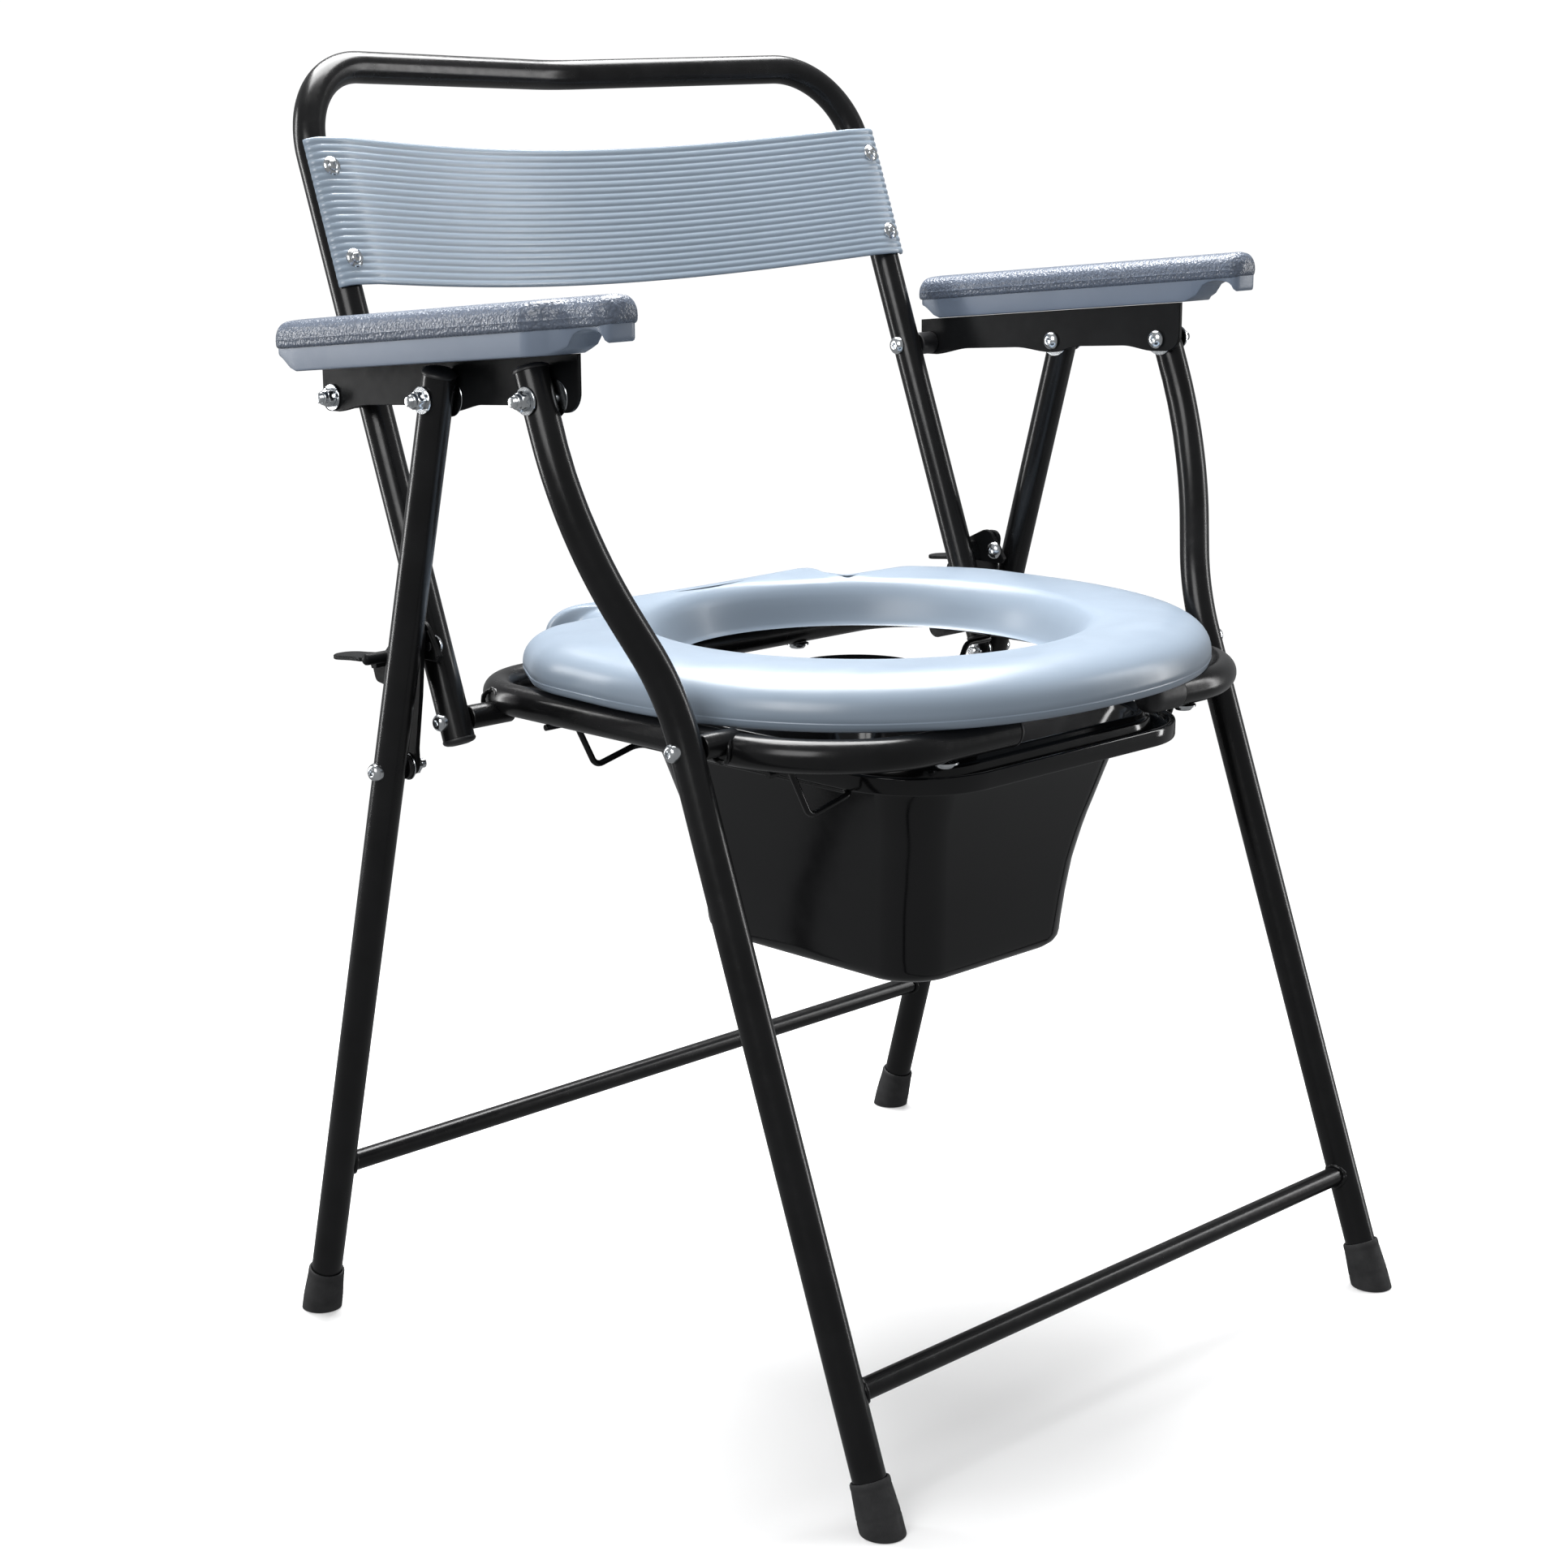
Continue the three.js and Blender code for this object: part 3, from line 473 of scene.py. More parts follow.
CAP_ROWS = [(0, 0.2), (10.25, 0.2), (10.4, 0.6), (10.35, 1.5), (9.7, 2.5), (8.2, 3.3), (5.5, 3.85), (2.5, 4.0),
            (0, 4.0)]
for name, at, direction, body, node in (
        ("cap_front", FRONT_LEG[3], FRONT_DIR, "front_leg_frame", "front_leg_cap_{}"),
        ("cap_rear", REAR_LEG[1], REAR_DIR, "rear_leg_frame", "rear_leg_cap_{}"),
        ("plug_back", BACK_SIDE[0], -BACK_DIR, "back_frame", "back_tube_plug_{}")):
    pair(name, Shape().turn(CAP_ROWS, at, direction), body, [node], [PLUG])


COPE_STEP, BAR_BURIED = 3, 0.2


def crossbar(name, z, y, x, direction, body, node):
    """A bar from leg to leg at x, its ends coped to the round of the tubes, with a weld bead at each."""
    shape = Shape()
    rows = []
    for end in (-1, 1):
        for d in ((0, COPE_STEP) if end < 0 else (COPE_STEP, 0)):
            row = []
            for j in range(32):
                a = 2 * PI * j / 32
                dy, dz = BAR_R * math.cos(a), BAR_R * math.sin(a)
                off = Vector((0, dy, dz))
                perp = (off - direction * off.dot(direction)).length
                reach = math.sqrt(max(0.0, (TUBE_R - BAR_BURIED) ** 2 - perp ** 2))
                row.append(Vector((end * (x - reach - d), y + dy, z + dz)))
            rows.append(row)
    shape.skin(rows)
    for end in (-1, 1):
        inward = Vector((-end, 0, 0))
        weld_bead(shape, Vector((end * x, y, z)), BAR_R, direction, TUBE_R, inward, end * 3.1 + z)
    piece(name, shape, body, [node], [PAINT])


crossbar("bar_front", FRONT_BAR_Z, front_leg_y(FRONT_BAR_Z), FRONT_X, FRONT_DIR, "front_leg_frame",
         "front_crossbar")
crossbar("bar_rear", REAR_BAR_Z, rear_leg_y(REAR_BAR_Z), rear_leg_x(REAR_BAR_Z), REAR_DIR, "rear_leg_frame",
         "rear_crossbar")

# ---------------------------------------------------------------- back frame and strap
back = Shape().sweep(lengthen(bent(BACK_PATH, [60, 120, 60], 0.05), 60), TUBE_R, 36)
piece("back_tube", back, "back_frame", ["back_frame_tube"], [PAINT])

STRAP_MID = Vector((0, back_y(STRAP_Z), STRAP_Z))
STRAP_H, STRAP_SAG, STRAP_FLAT, STRAP_RISE = 47.0, 35.0, 232.0, 12.3
RIBS, RIB_STEPS = 21, 8
WEB_HALF, CORD_HALF = 0.45, 1.25
WRAP, WRAP_STEPS, SAG_POWER, SAG_STEPS = 0.95, 8, 1.15, 30

# Stations across the chair: (x, depth, turn). The turn is given where the strap goes round a tube,
# and between the tubes it comes from the neighbours.
strap_line = []
for k in range(WRAP_STEPS + 1):
    a = WRAP * (1 - k / WRAP_STEPS)
    strap_line.append((-BACK_X - STRAP_RISE * math.sin(a), -STRAP_RISE * math.cos(a), -a))
for i in range(1 - SAG_STEPS, SAG_STEPS):
    u = i / SAG_STEPS
    strap_line.append((u * STRAP_FLAT, -STRAP_RISE + STRAP_SAG * (1 - u ** 2) ** SAG_POWER, None))
for k in range(WRAP_STEPS + 1):
    a = WRAP * k / WRAP_STEPS
    strap_line.append((BACK_X + STRAP_RISE * math.sin(a), -STRAP_RISE * math.cos(a), a))


def rib_profile():
    """(along, half thickness) rows over the strap's height: round cords joined by a thin web."""
    out = []
    pitch = 2 * STRAP_H / RIBS
    for i in range(RIBS):
        for k in range(RIB_STEPS):
            part = (k + 0.5) / RIB_STEPS
            u = part * 2 - 1
            out.append((-STRAP_H + pitch * (i + part), WEB_HALF + CORD_HALF * math.sqrt(max(0.0, 1 - u * u))))
    return out


rows = []
profile = rib_profile()
last = len(strap_line) - 1
for s, (x, depth, turn) in enumerate(strap_line):
    if turn is None:
        before, after = strap_line[s - 1], strap_line[s + 1]
        turn = math.atan2(after[1] - before[1], after[0] - before[0])
    normal = Vector((-math.sin(turn), 0, 0)) + BACK_NORMAL * math.cos(turn)
    thin = 0.55 + 0.45 * min(1.0, min(s, last - s) / 1.5)
    row = []
    for face in (1, -1):
        for along, half in (profile if face > 0 else profile[::-1]):
            ripple = 0.28 * math.sin(along * 0.9 + s * 0.35) * max(0.0, abs(x) / 245 - 0.8)
            base = STRAP_MID + Vector((x, 0, 0)) + BACK_DIR * along + BACK_NORMAL * (depth + ripple)
            row.append(base + normal * (half * thin * face))
    rows.append(row)
piece("strap", Shape().skin(rows), "back_frame", ["backrest_strap"], [STRAP_BLUE], sharp=60)


def strap_screw(along):
    """A screw with a cup washer, along the back tube from the strap's middle."""
    at = STRAP_MID + Vector((STRAP_SCREW_X, 0, 0)) + BACK_DIR * along - BACK_NORMAL * (STRAP_RISE + 1.5)
    rows_ = [(0, -2), (6.2, -2), (6.2, 0.1), (6.0, 0.5), (4.9, 1.3), (4.2, 1.7), (3.7, 1.5), (3.6, 1.2),
             (3.5, 1.9), (3.0, 2.5), (2.2, 2.9), (1.3, 3.0, 6), (1.25, 1.6, 6), (0, 1.5)]
    return Shape().turn(rows_, at, -BACK_NORMAL, 48)


STRAP_SCREW_X = 240
for name, along, node in (("low", -30.5, "lower"), ("high", 28, "upper")):
    pair(f"screw_strap_{name}", strap_screw(along), "back_frame", [f"strap_screw_{node}_{{}}"],
         [ZINC])

# ---------------------------------------------------------------- seat frame
loop = Shape().sweep(lengthen(bent(LOOP_PATH, [85, 52, 52, 85], 0.07), 60), TUBE_R, 36)
STUB_R = 7.5
for sx in (1, -1):
    for (y, z), x0, x1, weld_x in ((SEAT_PIVOT, 199, 231.4, 202), (SEAT_FRONT, 204, 230.4, 205)):
        loop.turn([(0, x0), (STUB_R, x0), (STUB_R, x1 - 0.4), (STUB_R - 0.4, x1), (4.4, x1), (4.2, x1 - 0.6),
                   (4.2, x1 - 6), (0, x1 - 6)], (0, y, z), (sx, 0, 0), 32)
        towards = Vector((sx, 0, (z - LOOP_Z) * 0.03)).normalized()
        weld_bead(loop, Vector((sx * weld_x, y, LOOP_Z)), STUB_R, Vector((0, 1, 0)), TUBE_R, towards, y + sx)
piece("loop_tube", loop, "seat_frame", ["seat_loop"], [PAINT])
LOOP_PLUG = [(0, 0.2), (9.9, 0.2), (10.2, 0.8), (10.3, 2.0), (10.3, 22), (10.1, 25), (9.4, 28), (8.0, 30.4),
             (6, 32), (3.4, 32.8), (0, 33)]
for side, profile, end, sx in (("left", LOOP_PLUG, 0, -1), ("right", CAP_ROWS, 5, 1)):
    piece(f"cap_loop_{side}", Shape().turn(profile, LOOP_PATH[end], (sx, 0, 0)), "seat_frame",
          [f"seat_loop_cap_{side}"], [PLUG])

RAIL_X, RAIL_Z, WIRE_R, HANGERS = 130, 385.4, 2.0, ((50, 206), (-138, 200))


def hanger(y, end): return [Vector((end, y, 407.5)), Vector((182, y, 407.5)), Vector((166, y, 377))]


WIRE = [*hanger(*HANGERS[0]), *(Vector((RAIL_X, y, RAIL_Z)) for y, _ in HANGERS), *hanger(*HANGERS[1])[::-1]]
wire = Shape().sweep(bent(WIRE, [7] * 6, 0.2), WIRE_R, 16)
pair("rail_bucket", wire, "seat_frame", ["bucket_rail_{}"], [PAINT])

# ---------------------------------------------------------------- seat ring
SEAT_LOW, SEAT_TOP, SEAT_ROUND, HOLE_Y = 430.6, 462.0, 24, -26.0
SEAT_HALF_X, SEAT_MID_Y, SEAT_FRONT_LONG, SEAT_SQUARE = 217, -20, 212, 2.3
RIGHT_REAR = [(SEAT_HALF_X, SEAT_MID_Y), (213, 52, 75), (180, 103, 16), (135, 109, 9), (117, 111, 7),
              (113.5, 133, 8), (124, 156.5, 8)]
LEFT_REAR = [(-x, *rest) for x, *rest in RIGHT_REAR[::-1]]
outline = [Vector(p) for p in rounded([*RIGHT_REAR, (0, 156), *LEFT_REAR], 0.12)]
for i in range(1, 90):
    a = PI + PI * i / 90
    c, n = math.cos(a), math.sin(a)
    outline.append(Vector((SEAT_HALF_X * math.copysign(abs(c) ** (2 / SEAT_SQUARE), c),
                           SEAT_MID_Y - SEAT_FRONT_LONG * abs(n) ** (2 / SEAT_SQUARE))))


def resample(points, count):
    """count points, evenly spaced along a closed outline."""
    pts = points + [points[0]]
    lens = [0.0]
    for a, b in zip(pts, pts[1:]):
        lens.append(lens[-1] + (b - a).length)
    out, j = [], 0
    for i in range(count):
        d = lens[-1] * i / count
        while lens[j + 1] < d:
            j += 1
        out.append(pts[j].lerp(pts[j + 1], (d - lens[j]) / max(1e-9, lens[j + 1] - lens[j])))
    return out


outline = resample(outline, 420)
SHOULDER, CROWN_FALL = 36, 2.2


def seat_row(p):
    """The ring's section at a point of its outline: up the outer edge, over the top and down into the hole."""
    a = math.atan2(p.y - HOLE_Y, p.x)

    def inner(rx, ry, z): return Vector((rx * math.cos(a), HOLE_Y + ry * math.sin(a), z))

    goal = inner(146, 143, 0)
    here = Vector((p.x, p.y, 0))
    run = (goal - here).length

    def inset(d, z):
        v = here.lerp(goal, min(0.97, d / run))
        v.z = z
        return v

    rows_ = [inset(11, SEAT_LOW), inset(4, SEAT_LOW + 0.3), inset(1.6, 432.2), inset(0.5, 434.6),
             inset(0.0, 436.2), inset(0.35, 436.7), inset(0.35, 437.1), inset(0.0, 437.6)]
    for k in range(1, 15):
        t = PI / 2 * k / 14
        rows_.append(inset(SHOULDER * (1 - math.cos(t)) ** 1.15, SEAT_TOP - SEAT_ROUND * (1 - math.sin(t))))
    crown = min(0.8, SHOULDER / run)
    for k in range(1, 6):
        v = here.lerp(goal, crown + (1 - crown) * k / 5)
        v.z = SEAT_TOP - CROWN_FALL * (k / 5) ** 2.2
        rows_.append(v)
    for rx, ry, z in ((143, 140.5, 457.6), (140, 138, 454.4), (136.5, 136, 449.5), (133.5, 134.5, 444),
                      (131, 133, 438.5), (128.5, 131.8, 434), (127, 131, 431.8), (125, 130, SEAT_LOW)):
        rows_.append(inner(rx, ry, z))
    return rows_


seat = Shape().skin([seat_row(p) for p in outline], loop=True)
piece("seat", seat, "seat_frame", ["seat_ring"], [SEAT_BLUE], sharp=50)

SEAT_SCREW = [(0, 0.6), (1.6, 0.6, 6), (1.7, -2.6, 6), (3.2, -2.7), (4.8, -2.3), (5.8, -1.2), (6, 0), (8, 0.1),
              (8, 1.2), (0, 1.2)]
for name, x, y in (("front", 112, -194), ("rear", 92, 129)):
    screw = Shape().turn(SEAT_SCREW, (x, y, LOOP_Z - TUBE_R - 1.4), (0, 0, 1), 48)
    pair(f"screw_seat_{name}", screw, "seat_frame", [f"seat_screw_{name}_{{}}"], [ZINC])

# ---------------------------------------------------------------- bucket
BUCKET_Y, BUCKET_EXTRA_Y = -40.0, 21.0


def bucket_row(half, z):
    """The bucket's rounded outline at height z. It reaches BUCKET_EXTRA_Y further along y than along x."""
    r, deep = 30 + 0.7 * max(0.0, half - 95), half + BUCKET_EXTRA_Y
    pts = rounded([(half, -deep, r), (half, deep, r), (-half, deep, r), (-half, -deep, r)], 0.08)
    return [Vector((p.x, p.y + BUCKET_Y, z)) for p in pts]


# Rows of (half width, height): up the outside, over the stepped rim, and down the inside.
BUCKET_ROWS = [
    (50, 250.6), (66, 250.0), (70.5, 250.3), (74, 251.5), (76.7, 253.7), (78.2, 256.6), (78.8, 260),
    (79.4, 268), (80.2, 276), (81.2, 286), (82.6, 297), (84.1, 308), (86, 317.5), (88.2, 328), (90.6, 338),
    (93.2, 347.5), (95.9, 357), (98.9, 366), (102, 375), (105, 382), (107.4, 386), (109.4, 387.5), (112, 388),
    (136.6, 388), (137.6, 388.4), (138, 389.4), (138, 397.6), (137.7, 398.7), (136.8, 399), (135.4, 399),
    (134.7, 398.6), (134.5, 397.6), (134.2, 394), (133.4, 393.2), (125.8, 393), (124.8, 393.4), (124.4, 394.6),
    (123.6, 400), (122.8, 401.2), (121.4, 401.6), (120.8, 402.2), (120.4, 404.2), (119.6, 405.1),
    (118.4, 405.2), (117.4, 404.6), (116.8, 403), (115.9, 402.2), (115, 402.6), (114.2, 402.6),
    (113.4, 401.6), (112.4, 398.6),
    (110.6, 394.6), (107.8, 389.8), (103.8, 381.6), (100.2, 374), (96.4, 365), (93.4, 356.4), (88.1, 337.6),
    (83.5, 317), (80.1, 297), (78.8, 286), (77, 268), (76.2, 261), (74, 256), (70, 253.4), (50, 252.8)]
bucket = Shape().skin([bucket_row(h, z) for h, z in BUCKET_ROWS])
piece("bucket_shell", bucket, "bucket_body", ["bucket"], [BUCKET_BLACK], sharp=60)

# ---------------------------------------------------------------- armrests
PAD_H, PAD_CAP, WALL_IN, PAD_INNER = 30.0, 16.0, 2.6, 265
PAD_REAR, PAD_FRONT, TRAY_REAR, TRAY_FRONT = 178.5, -112, 175.7, -110
SEAM_HALF, SEAM_DEEP, CAP_CROWN = 0.35, 0.22, 0.7


def pad_outer(y): return 307 - 13.5 * smooth(-59, -75, y)


def ease(e, r):
    """How far a rounded end of radius r draws in, e from the end."""
    return r - math.sqrt(max(0.0, r * r - (r - min(e, r)) ** 2))


def ends(y0, y1, r):
    """Stations between y0 and y1, close together within r of the ends."""
    out = [y0 - r * (1 - math.cos(PI / 2 * k / 8)) for k in range(9)]
    n = 56
    out += [y0 - r + (y1 - y0 + 2 * r) * k / n for k in range(1, n)]
    out += [y1 + r * (1 - math.cos(PI / 2 * k / 8)) for k in range(8, -1, -1)]
    return out


# The grained cap, with its moulding seam
pad = Shape()
rows = []
for y in ends(PAD_REAR, PAD_FRONT, 11):
    e = min(PAD_REAR - y, y - PAD_FRONT)
    x0, x1 = PAD_INNER + ease(e, 9), pad_outer(y) - ease(e, 11)
    base = pad_bottom(y)
    low = base + PAD_H - PAD_CAP + ease(e, 4)
    top = base + PAD_H - ease(e, 9)
    r = min(9.0, (x1 - x0) * 0.45, (top - low) * 0.62)
    q = min(2.6, (top - low) * 0.25)
    seam = low + q + (top - r - low - q) * 0.6
    arc = [(1 - math.cos(PI / 2 * k / 5), 1 - math.sin(PI / 2 * k / 5)) for k in range(6)]
    side = [(c * q, low + d * q) for c, d in arc[::-1]]
    side += [(0, seam - SEAM_HALF), (-SEAM_DEEP, seam), (0, seam + SEAM_HALF)]
    side += [(r * (1 - math.cos(PI / 2 * k / 7)), top - r + r * math.sin(PI / 2 * k / 7)) for k in range(8)]
    row = [((x0 + x1) / 2, low)] + [(x1 - d, z) for d, z in side]
    for k in range(1, 6):
        u = k / 6
        row.append((x1 - r + (x0 + r - x1 + r) * u, top + CAP_CROWN * math.sin(PI * u)))
    row += [(x0 + d, z) for d, z in side[::-1]]
    rows.append([Vector((x, y, z)) for x, z in row])
pad.skin(rows)
# The smooth tray under it, arched near the front end
pad.mark = 1
rows = []
ARCH_Y, ARCH_A, ARCH_H = -93.0, 14.5, 12.2
for y in ends(TRAY_REAR, TRAY_FRONT, 9):
    e = min(TRAY_REAR - y, y - TRAY_FRONT)
    x0, x1 = PAD_INNER + WALL_IN + ease(e, 5), pad_outer(y) - WALL_IN - ease(e, 5)
    low = pad_bottom(y) + 9.5 * smooth(157, 174, y) * (1 if y > 0 else 0) + 3.8 * smooth(-70, -75, y)
    low += ease(e, 4) * (1 if y < 0 else 0)
    if abs(y - ARCH_Y) < ARCH_A:
        low += (ARCH_H - 3.4 * smooth(-70, -75, y)) * (1 - ((y - ARCH_Y) / ARCH_A) ** 2) ** 0.42
    top = pad_bottom(y) + PAD_H - PAD_CAP + 0.9
    q = min(1.8, (top - low) / 2)
    row = [(x0 + q, low), (x1 - q, low), (x1 - q * 0.3, low + q * 0.3), (x1, low + q), (x1, top), (x0, top),
           (x0, low + q), (x0 + q * 0.3, low + q * 0.3)]
    rows.append([Vector((x, y, z)) for x, z in row])
pad.skin(rows)
pair("pad", pad, "armrest_{}", ["armrest_pad_{}"], [PAD_GRAIN, PAD_SIDE])

LOBE, VALLEY = 8.2, 4.2
PLATE_REAR, PLATE_FRONT = 174.6, -63.5
outline = [(y, pad_bottom(y) - 0.2) for y in (PLATE_REAR, PLATE_FRONT)]
front_corner = [(PLATE_FRONT, 660), (PLATE_FRONT, ARM_FRONT[1] - 7.6, 12), (60, ARM_FRONT[1] - LOBE)]
outline += [tuple(p) for p in rounded(front_corner, 0.15)[1:-1]]
KNOTS = [(ARM_FRONT[0] + 2, ARM_FRONT[1] - LOBE), (ARM_MID[0], ARM_MID[1] - LOBE),
         (ARM_REAR[0] - 2, ARM_REAR[1] - LOBE - 0.6)]
for (ya, za), (yb, zb) in zip(KNOTS, KNOTS[1:]):
    for k in range(0, 30):
        u = k / 30
        rise = (LOBE - VALLEY) * smooth(0, 0.3, u) * smooth(0, 0.3, 1 - u)
        outline.append((ya + (yb - ya) * u, za + (zb - za) * u + rise))
rear_corner = [(KNOTS[2][0] - 20, KNOTS[2][1]), (PLATE_REAR, KNOTS[2][1] + 0.3, 6), (PLATE_REAR, 640)]
outline += [tuple(p) for p in rounded(rear_corner, 0.2)[1:-1]]
bracket = Shape().prism([Vector(p) for p in outline], in_side_plane, PLATE_X0, PLATE_X1, 0.4)
pair("bracket_arm", bracket, "armrest_{}", ["armrest_bracket_{}"], [BRACKET_PAINT])

for name, at, body in (("front", ARM_FRONT, "front_leg_frame"), ("mid", ARM_MID, "rear_leg_frame")):
    s = Shape()
    button_head(s, PLATE_X0 - 0.2, at, -1)
    shank(s, PLATE_X0 - 0.3, OUTER_X + 11, at)
    washer(s, PLATE_X1 + 0.1, PLATE_X1 + 0.5, at, 11.0)
    washer(s, OUTER_X + 10.1, OUTER_X + 11.3, at, 8.0)
    lock_nut(s, OUTER_X + 11.3, at, 0.2 if name == "mid" else 0.75, tip=2.6)
    pair(f"bolt_arm_{name}", s, body, [f"armrest_bolt_{name}_{{}}"], [ZINC])
s = Shape()
button_head(s, BACK_X - TUBE_R - 0.1, ARM_REAR, -1)
shank(s, BACK_X - TUBE_R, PLATE_X1 + 1, ARM_REAR)
washer(s, PLATE_X1 + 0.2, PLATE_X1 + 1.4, ARM_REAR, 8.0)
lock_nut(s, PLATE_X1 + 1.4, ARM_REAR, 0.5, tip=2.6)
pair("bolt_arm_rear", s, "back_frame", ["armrest_bolt_rear_{}"], [ZINC])
s = Shape()
s.across([(3.4, 252.2), (7.4, 252.2), (8, 252.8), (8, 267.6), (7.4, 268.3), (3.4, 268.3)], ARM_REAR)
pair("spacer_arm", s, "back_frame", ["armrest_spacer_{}"], [PLUG])

SEAT_BOLT_TIP = 226
for name, at, x, body in (("rear", SEAT_PIVOT, BACK_X, "back_frame"),
                          ("front", SEAT_FRONT, FRONT_X, "front_leg_frame")):
    s = Shape()
    out = x + TUBE_R
    shank(s, SEAT_BOLT_TIP, out + 1, at)
    rows = [(0, out - 1.5), (5.4, out - 1.5), (5.5, out + 0.4), (5.4, out + 1.2), (5.0, out + 2.4),
            (4.2, out + 3.5), (3.2, out + 4.1), (2.4, out + 4.3), (1.9, out + 4.2, 6), (1.8, out + 2.0, 6),
            (0, out + 1.7)]
    s.across(rows, at, 48, 0.4)
    pair(f"bolt_seat_{name}", s, body, [f"seat_bolt_{name}_{{}}"], [ZINC])

# ---------------------------------------------------------------- lock parts
lock = Shape()
LOCK_X = BACK_X + TUBE_R + 5.6
lock.plate([(82, 455, 2), (84.5, 451.5, 2), (110, 451.5, 2), (118, 467, 3), (97, 477, 8)], LOCK_X, LOCK_X + 3.1,
           0.4, 0.15)
FRONT_LIP = [(82.4, 455, 0.5), (84.6, 454, 0.5), (94.8, 469, 0.5), (92.6, 470, 0.5)]
lock.plate(FRONT_LIP, LOCK_X + 0.4, LOCK_X + 4.2, 0.3)
WEB_TO_TUBE = [(103, 452.5, 1), (109, 452.5, 1), (115, 466, 1), (109, 466, 1)]
lock.plate(WEB_TO_TUBE, BACK_X + TUBE_R + 0.2, LOCK_X + 1, 0.4)
pair("bracket_lock", lock, "back_frame", ["lock_bracket_{}"], [BRACKET_PAINT])
s = Shape()
button_head(s, LOCK_X - 0.2, LOCK_PIN, -1)
shank(s, LOCK_X, LOCK_X + 4.6, LOCK_PIN)
pair("pin_lock", s, "back_frame", ["lock_pin_{}"], [ZINC])

bar = Shape()
bar.plate([(101, 378, 9), (120, 378, 9), (117.5, 394, 20), (112.5, 429, 6), (140, 433, 4), (143.5, 444, 5),
           (133, 450, 6), (124, 459, 5), (109, 461, 5), (105, 474, 6), (91, 474, 6), (96, 430, 30),
           (101.5, 396, 20)], BAR_X0, BAR_X1, 0.4, 0.15)
CATCH_ROD = [(0, 264), (3.6, 264), (3.6, 289.6), (3.4, 290.8), (2.7, 291.6), (1.6, 292), (0, 292.1)]
bar.across(CATCH_ROD, (116, 453), 36)
paddle = rounded([(263, 131), (283, 131, 2), (283, 165.5, 9), (263, 165.5, 9)], 0.2)


def paddle_point(x, y, w):
    """A point of the paddle, which dips towards its rear edge; w is up from its middle."""
    return Vector((x, y, 449.8 - 2.4 * smooth(131, 165, y) + w))


rows = []
middle = Vector((273, 148))
for w, inset in ((-1.3, 0.5), (-0.9, 0), (0.9, 0), (1.3, 0.5)):
    rows.append([paddle_point(*(p + (middle - p).normalized() * inset), w) for p in resample(paddle, 120)])
bar.skin(rows)
bar.plate([(128, 444), (133, 443), (136, 450, 1), (134, 452, 2), (128, 451)], BAR_X0, BAR_X1 + 8, 0.3)
pair("bar_lock", bar, "lock_{}", ["lock_bar_{}"], [BRACKET_PAINT])

s = Shape()
LOCK_LEG = rear_leg_x(LOCK_PIVOT[1])
s.across([(3.4, 267.3), (7.2, 267.3), (7.5, 267.6), (7.5, 269.9), (7.2, 270.2), (3.4, 270.2)], LOCK_PIVOT)
pair("spacer_lock", s, "rear_leg_frame", ["lock_bar_spacer_{}"], [PLUG])
s = Shape()
out = LOCK_LEG + TUBE_R
s.across([(0, out - 1.5), (5.6, out - 1.5), (5.7, out + 0.4), (5.5, out + 1.4), (5.0, out + 2.6),
          (4.2, out + 3.6), (3.2, out + 4.1), (2.2, out + 4.2), (1.9, out + 4.1, 6), (1.8, out + 2, 6),
          (0, out + 1.8)], LOCK_PIVOT)
shank(s, 254.2, out, LOCK_PIVOT)
washer(s, 266.4, 267.2, LOCK_PIVOT, 8.6)
s.across([(0, 262.7), (4.8, 262.7), (5.0, 262.4, 6), (5.0, 259.2, 6), (4.7, 258.8), (4.2, 258.5), (4.1, 257.8),
          (3.2, 257.5), (0, 257.4)], LOCK_PIVOT, 48, 0.3)
pair("bolt_lock", s, "rear_leg_frame", ["lock_bar_bolt_{}"], [ZINC])

# ---------------------------------------------------------------- floor, light, camera
floor_mat, nodes, links, bsdf = new_material("studio_floor")
bsdf.inputs["Base Color"].default_value = (0.9, 0.9, 0.9, 1)
bsdf.inputs["Roughness"].default_value = 0.7
bsdf.inputs["Specular IOR Level"].default_value = 0.2
glow = nodes.new("ShaderNodeEmission")
glow.inputs["Strength"].default_value = 1.05
reach = nodes.new("ShaderNodeVectorMath")
reach.operation = "LENGTH"
links.new(nodes.new("ShaderNodeTexCoord").outputs["Object"], reach.inputs[0])
fade = nodes.new("ShaderNodeMapRange")
fade.interpolation_type = "SMOOTHSTEP"
fade.inputs["From Min"].default_value = 0.45
fade.inputs["From Max"].default_value = 1.3
fade.inputs["To Min"].default_value = 0.3
links.new(reach.outputs["Value"], fade.inputs["Value"])
blend = nodes.new("ShaderNodeMixShader")
links.new(fade.outputs["Result"], blend.inputs["Fac"])
links.new(bsdf.outputs["BSDF"], blend.inputs[1])
links.new(glow.outputs["Emission"], blend.inputs[2])
links.new(blend.outputs["Shader"], nodes["Material Output"].inputs["Surface"])
bm = bmesh.new()
bmesh.ops.create_grid(bm, x_segments=1, y_segments=1, size=30)
floor_mesh = bpy.data.meshes.new("floor")
bm.to_mesh(floor_mesh)
bm.free()
floor = bpy.data.objects.new("floor", floor_mesh)
floor.location.z = -0.0005
floor_mesh.materials.append(floor_mat)
scene.collection.objects.link(floor)
floor.visible_glossy = False
floor.visible_diffuse = False

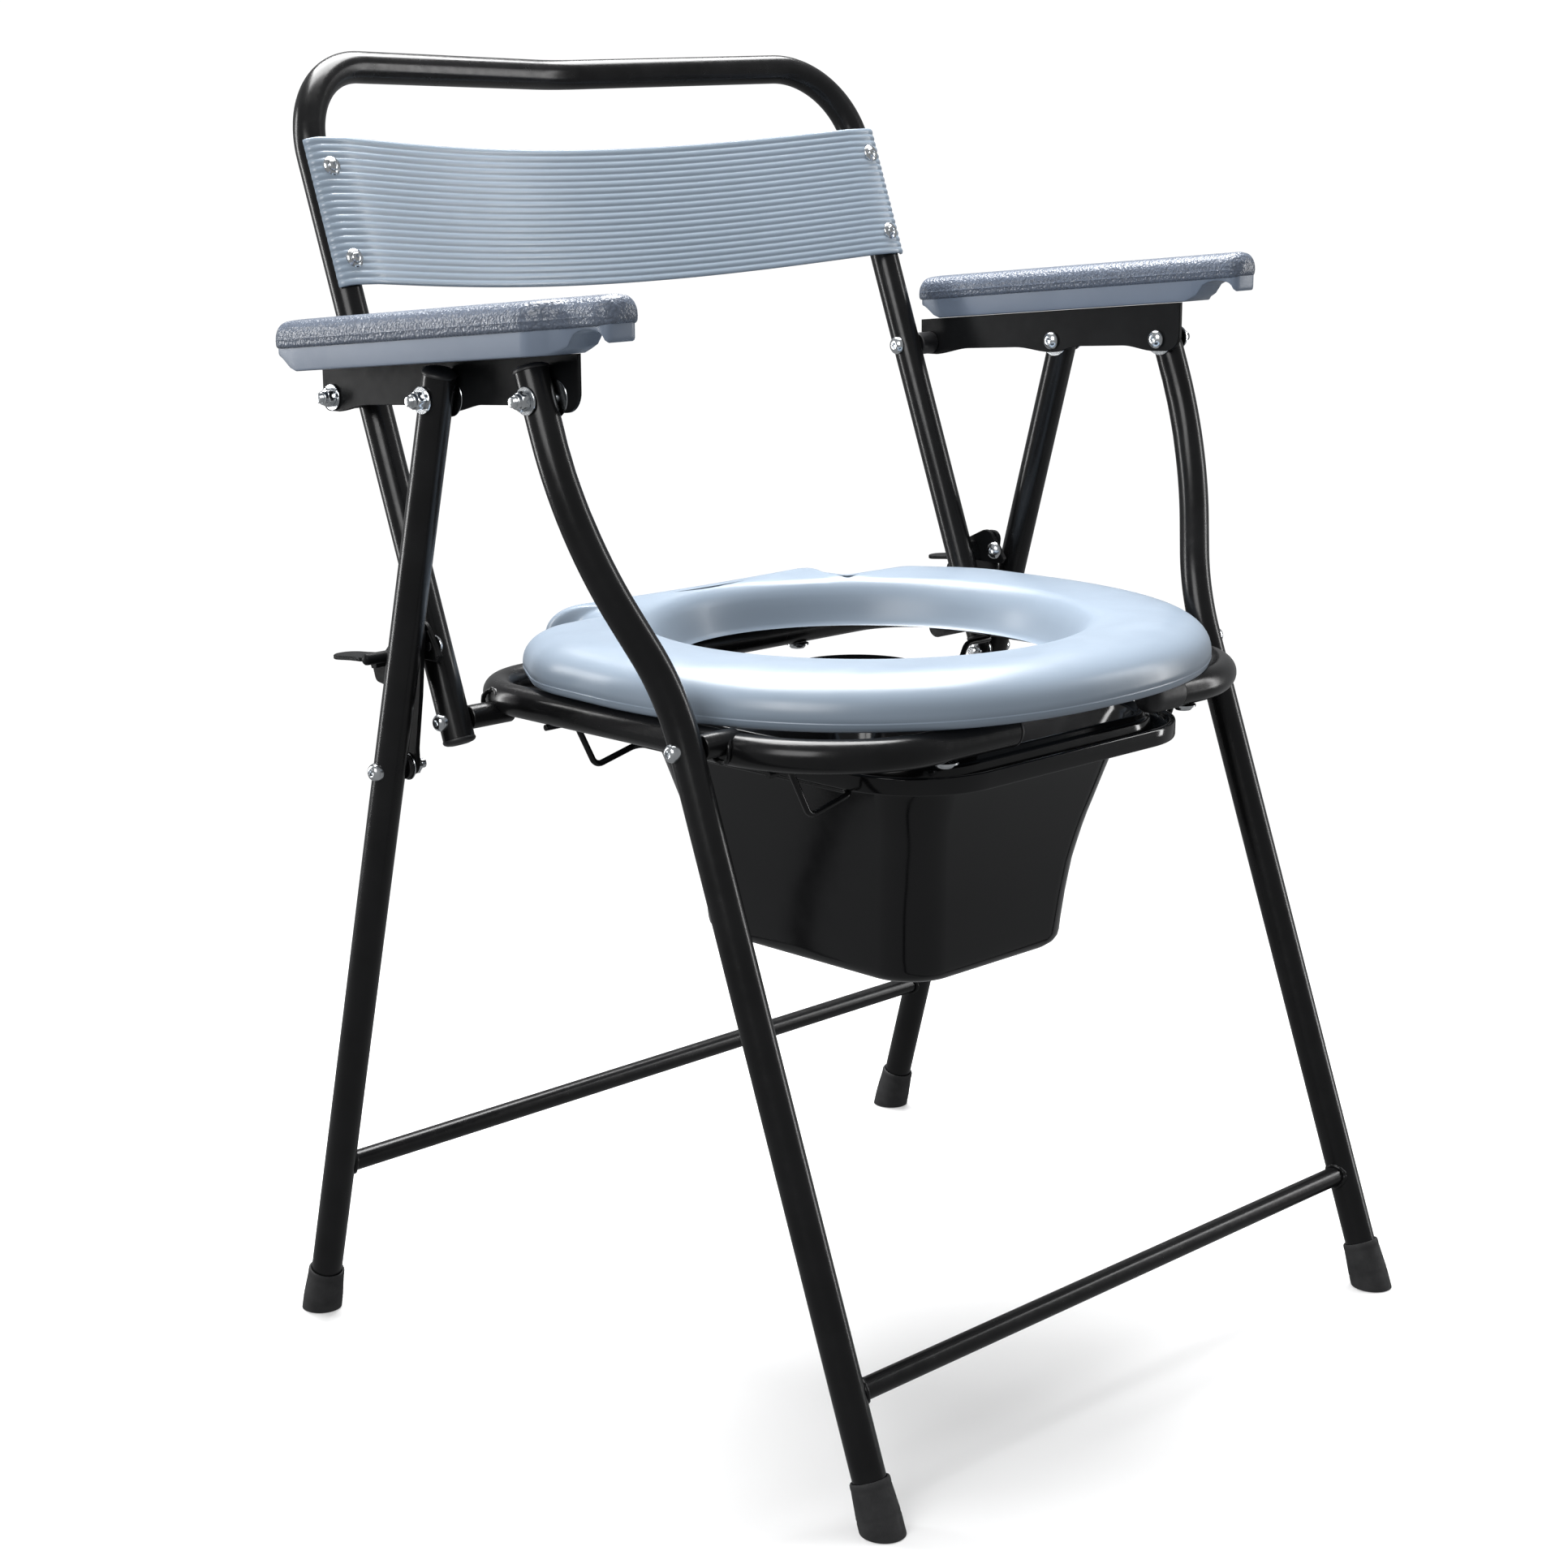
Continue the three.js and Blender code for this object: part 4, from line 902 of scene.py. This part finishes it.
# The room: white where it is seen directly, dimmer where it lights or is mirrored.
world = bpy.data.worlds.new("studio")
scene.world = world
world.use_nodes = True
nodes, links = world.node_tree.nodes, world.node_tree.links
seen, room = nodes["Background"], nodes.new("ShaderNodeBackground")
seen.inputs["Color"].default_value = (1, 1, 1, 1)
seen.inputs["Strength"].default_value = 1.05
room.inputs["Color"].default_value = (0.97, 0.985, 1, 1)
room.inputs["Strength"].default_value = 0.30
room_mix = nodes.new("ShaderNodeMixShader")
links.new(nodes.new("ShaderNodeLightPath").outputs["Is Camera Ray"], room_mix.inputs["Fac"])
links.new(room.outputs["Background"], room_mix.inputs[1])
links.new(seen.outputs["Background"], room_mix.inputs[2])
links.new(room_mix.outputs["Shader"], nodes["World Output"].inputs["Surface"])


def area(name, location, target, size, power):
    """A soft rectangular lamp aimed at target."""
    light = bpy.data.lights.new(name, "AREA")
    light.shape = "RECTANGLE"
    light.size, light.size_y = size
    light.energy = power
    ob = bpy.data.objects.new(name, light)
    ob.location = location
    ob.rotation_mode = "QUATERNION"
    ob.rotation_quaternion = (Vector(target) - Vector(location)).to_track_quat("-Z", "Y")
    ob.visible_camera = False
    scene.collection.objects.link(ob)


area("softbox_top", (0.48, 0.72, 2.4), (0, 0, 0.4), (1.8, 1.6), 160)
area("softbox_left", (-2.2, -0.7, 1.7), (0, 0.2, 0.65), (1.3, 1.3), 36)
area("strip_right", (1.7, -1.0, 0.8), (0, 0, 0.45), (0.24, 1.6), 14)
area("strip_left", (-1.1, 1.7, 0.8), (0, 0, 0.45), (0.30, 1.6), 20)

camera_data = bpy.data.cameras.new("camera")
camera_data.sensor_width = 36
camera_data.lens = 65.52
camera_data.clip_end = 60
camera = bpy.data.objects.new("camera", camera_data)
scene.collection.objects.link(camera)
scene.camera = camera
AZ, EL, ROLL = math.radians(44.787), math.radians(-13.444), math.radians(-0.285)
look = Vector((math.sin(AZ) * math.cos(EL), math.cos(AZ) * math.cos(EL), math.sin(EL)))
level = Vector((math.cos(AZ), -math.sin(AZ), 0))
right = level * math.cos(ROLL) + level.cross(look) * math.sin(ROLL)
camera.location = (-1.3057, -1.2651, 0.7809)
camera.rotation_mode = "QUATERNION"
camera.rotation_quaternion = Matrix((right, right.cross(look), -look)).transposed().to_quaternion()
camera_data.shift_y = -0.0012
scene.view_settings.view_transform = "Standard"
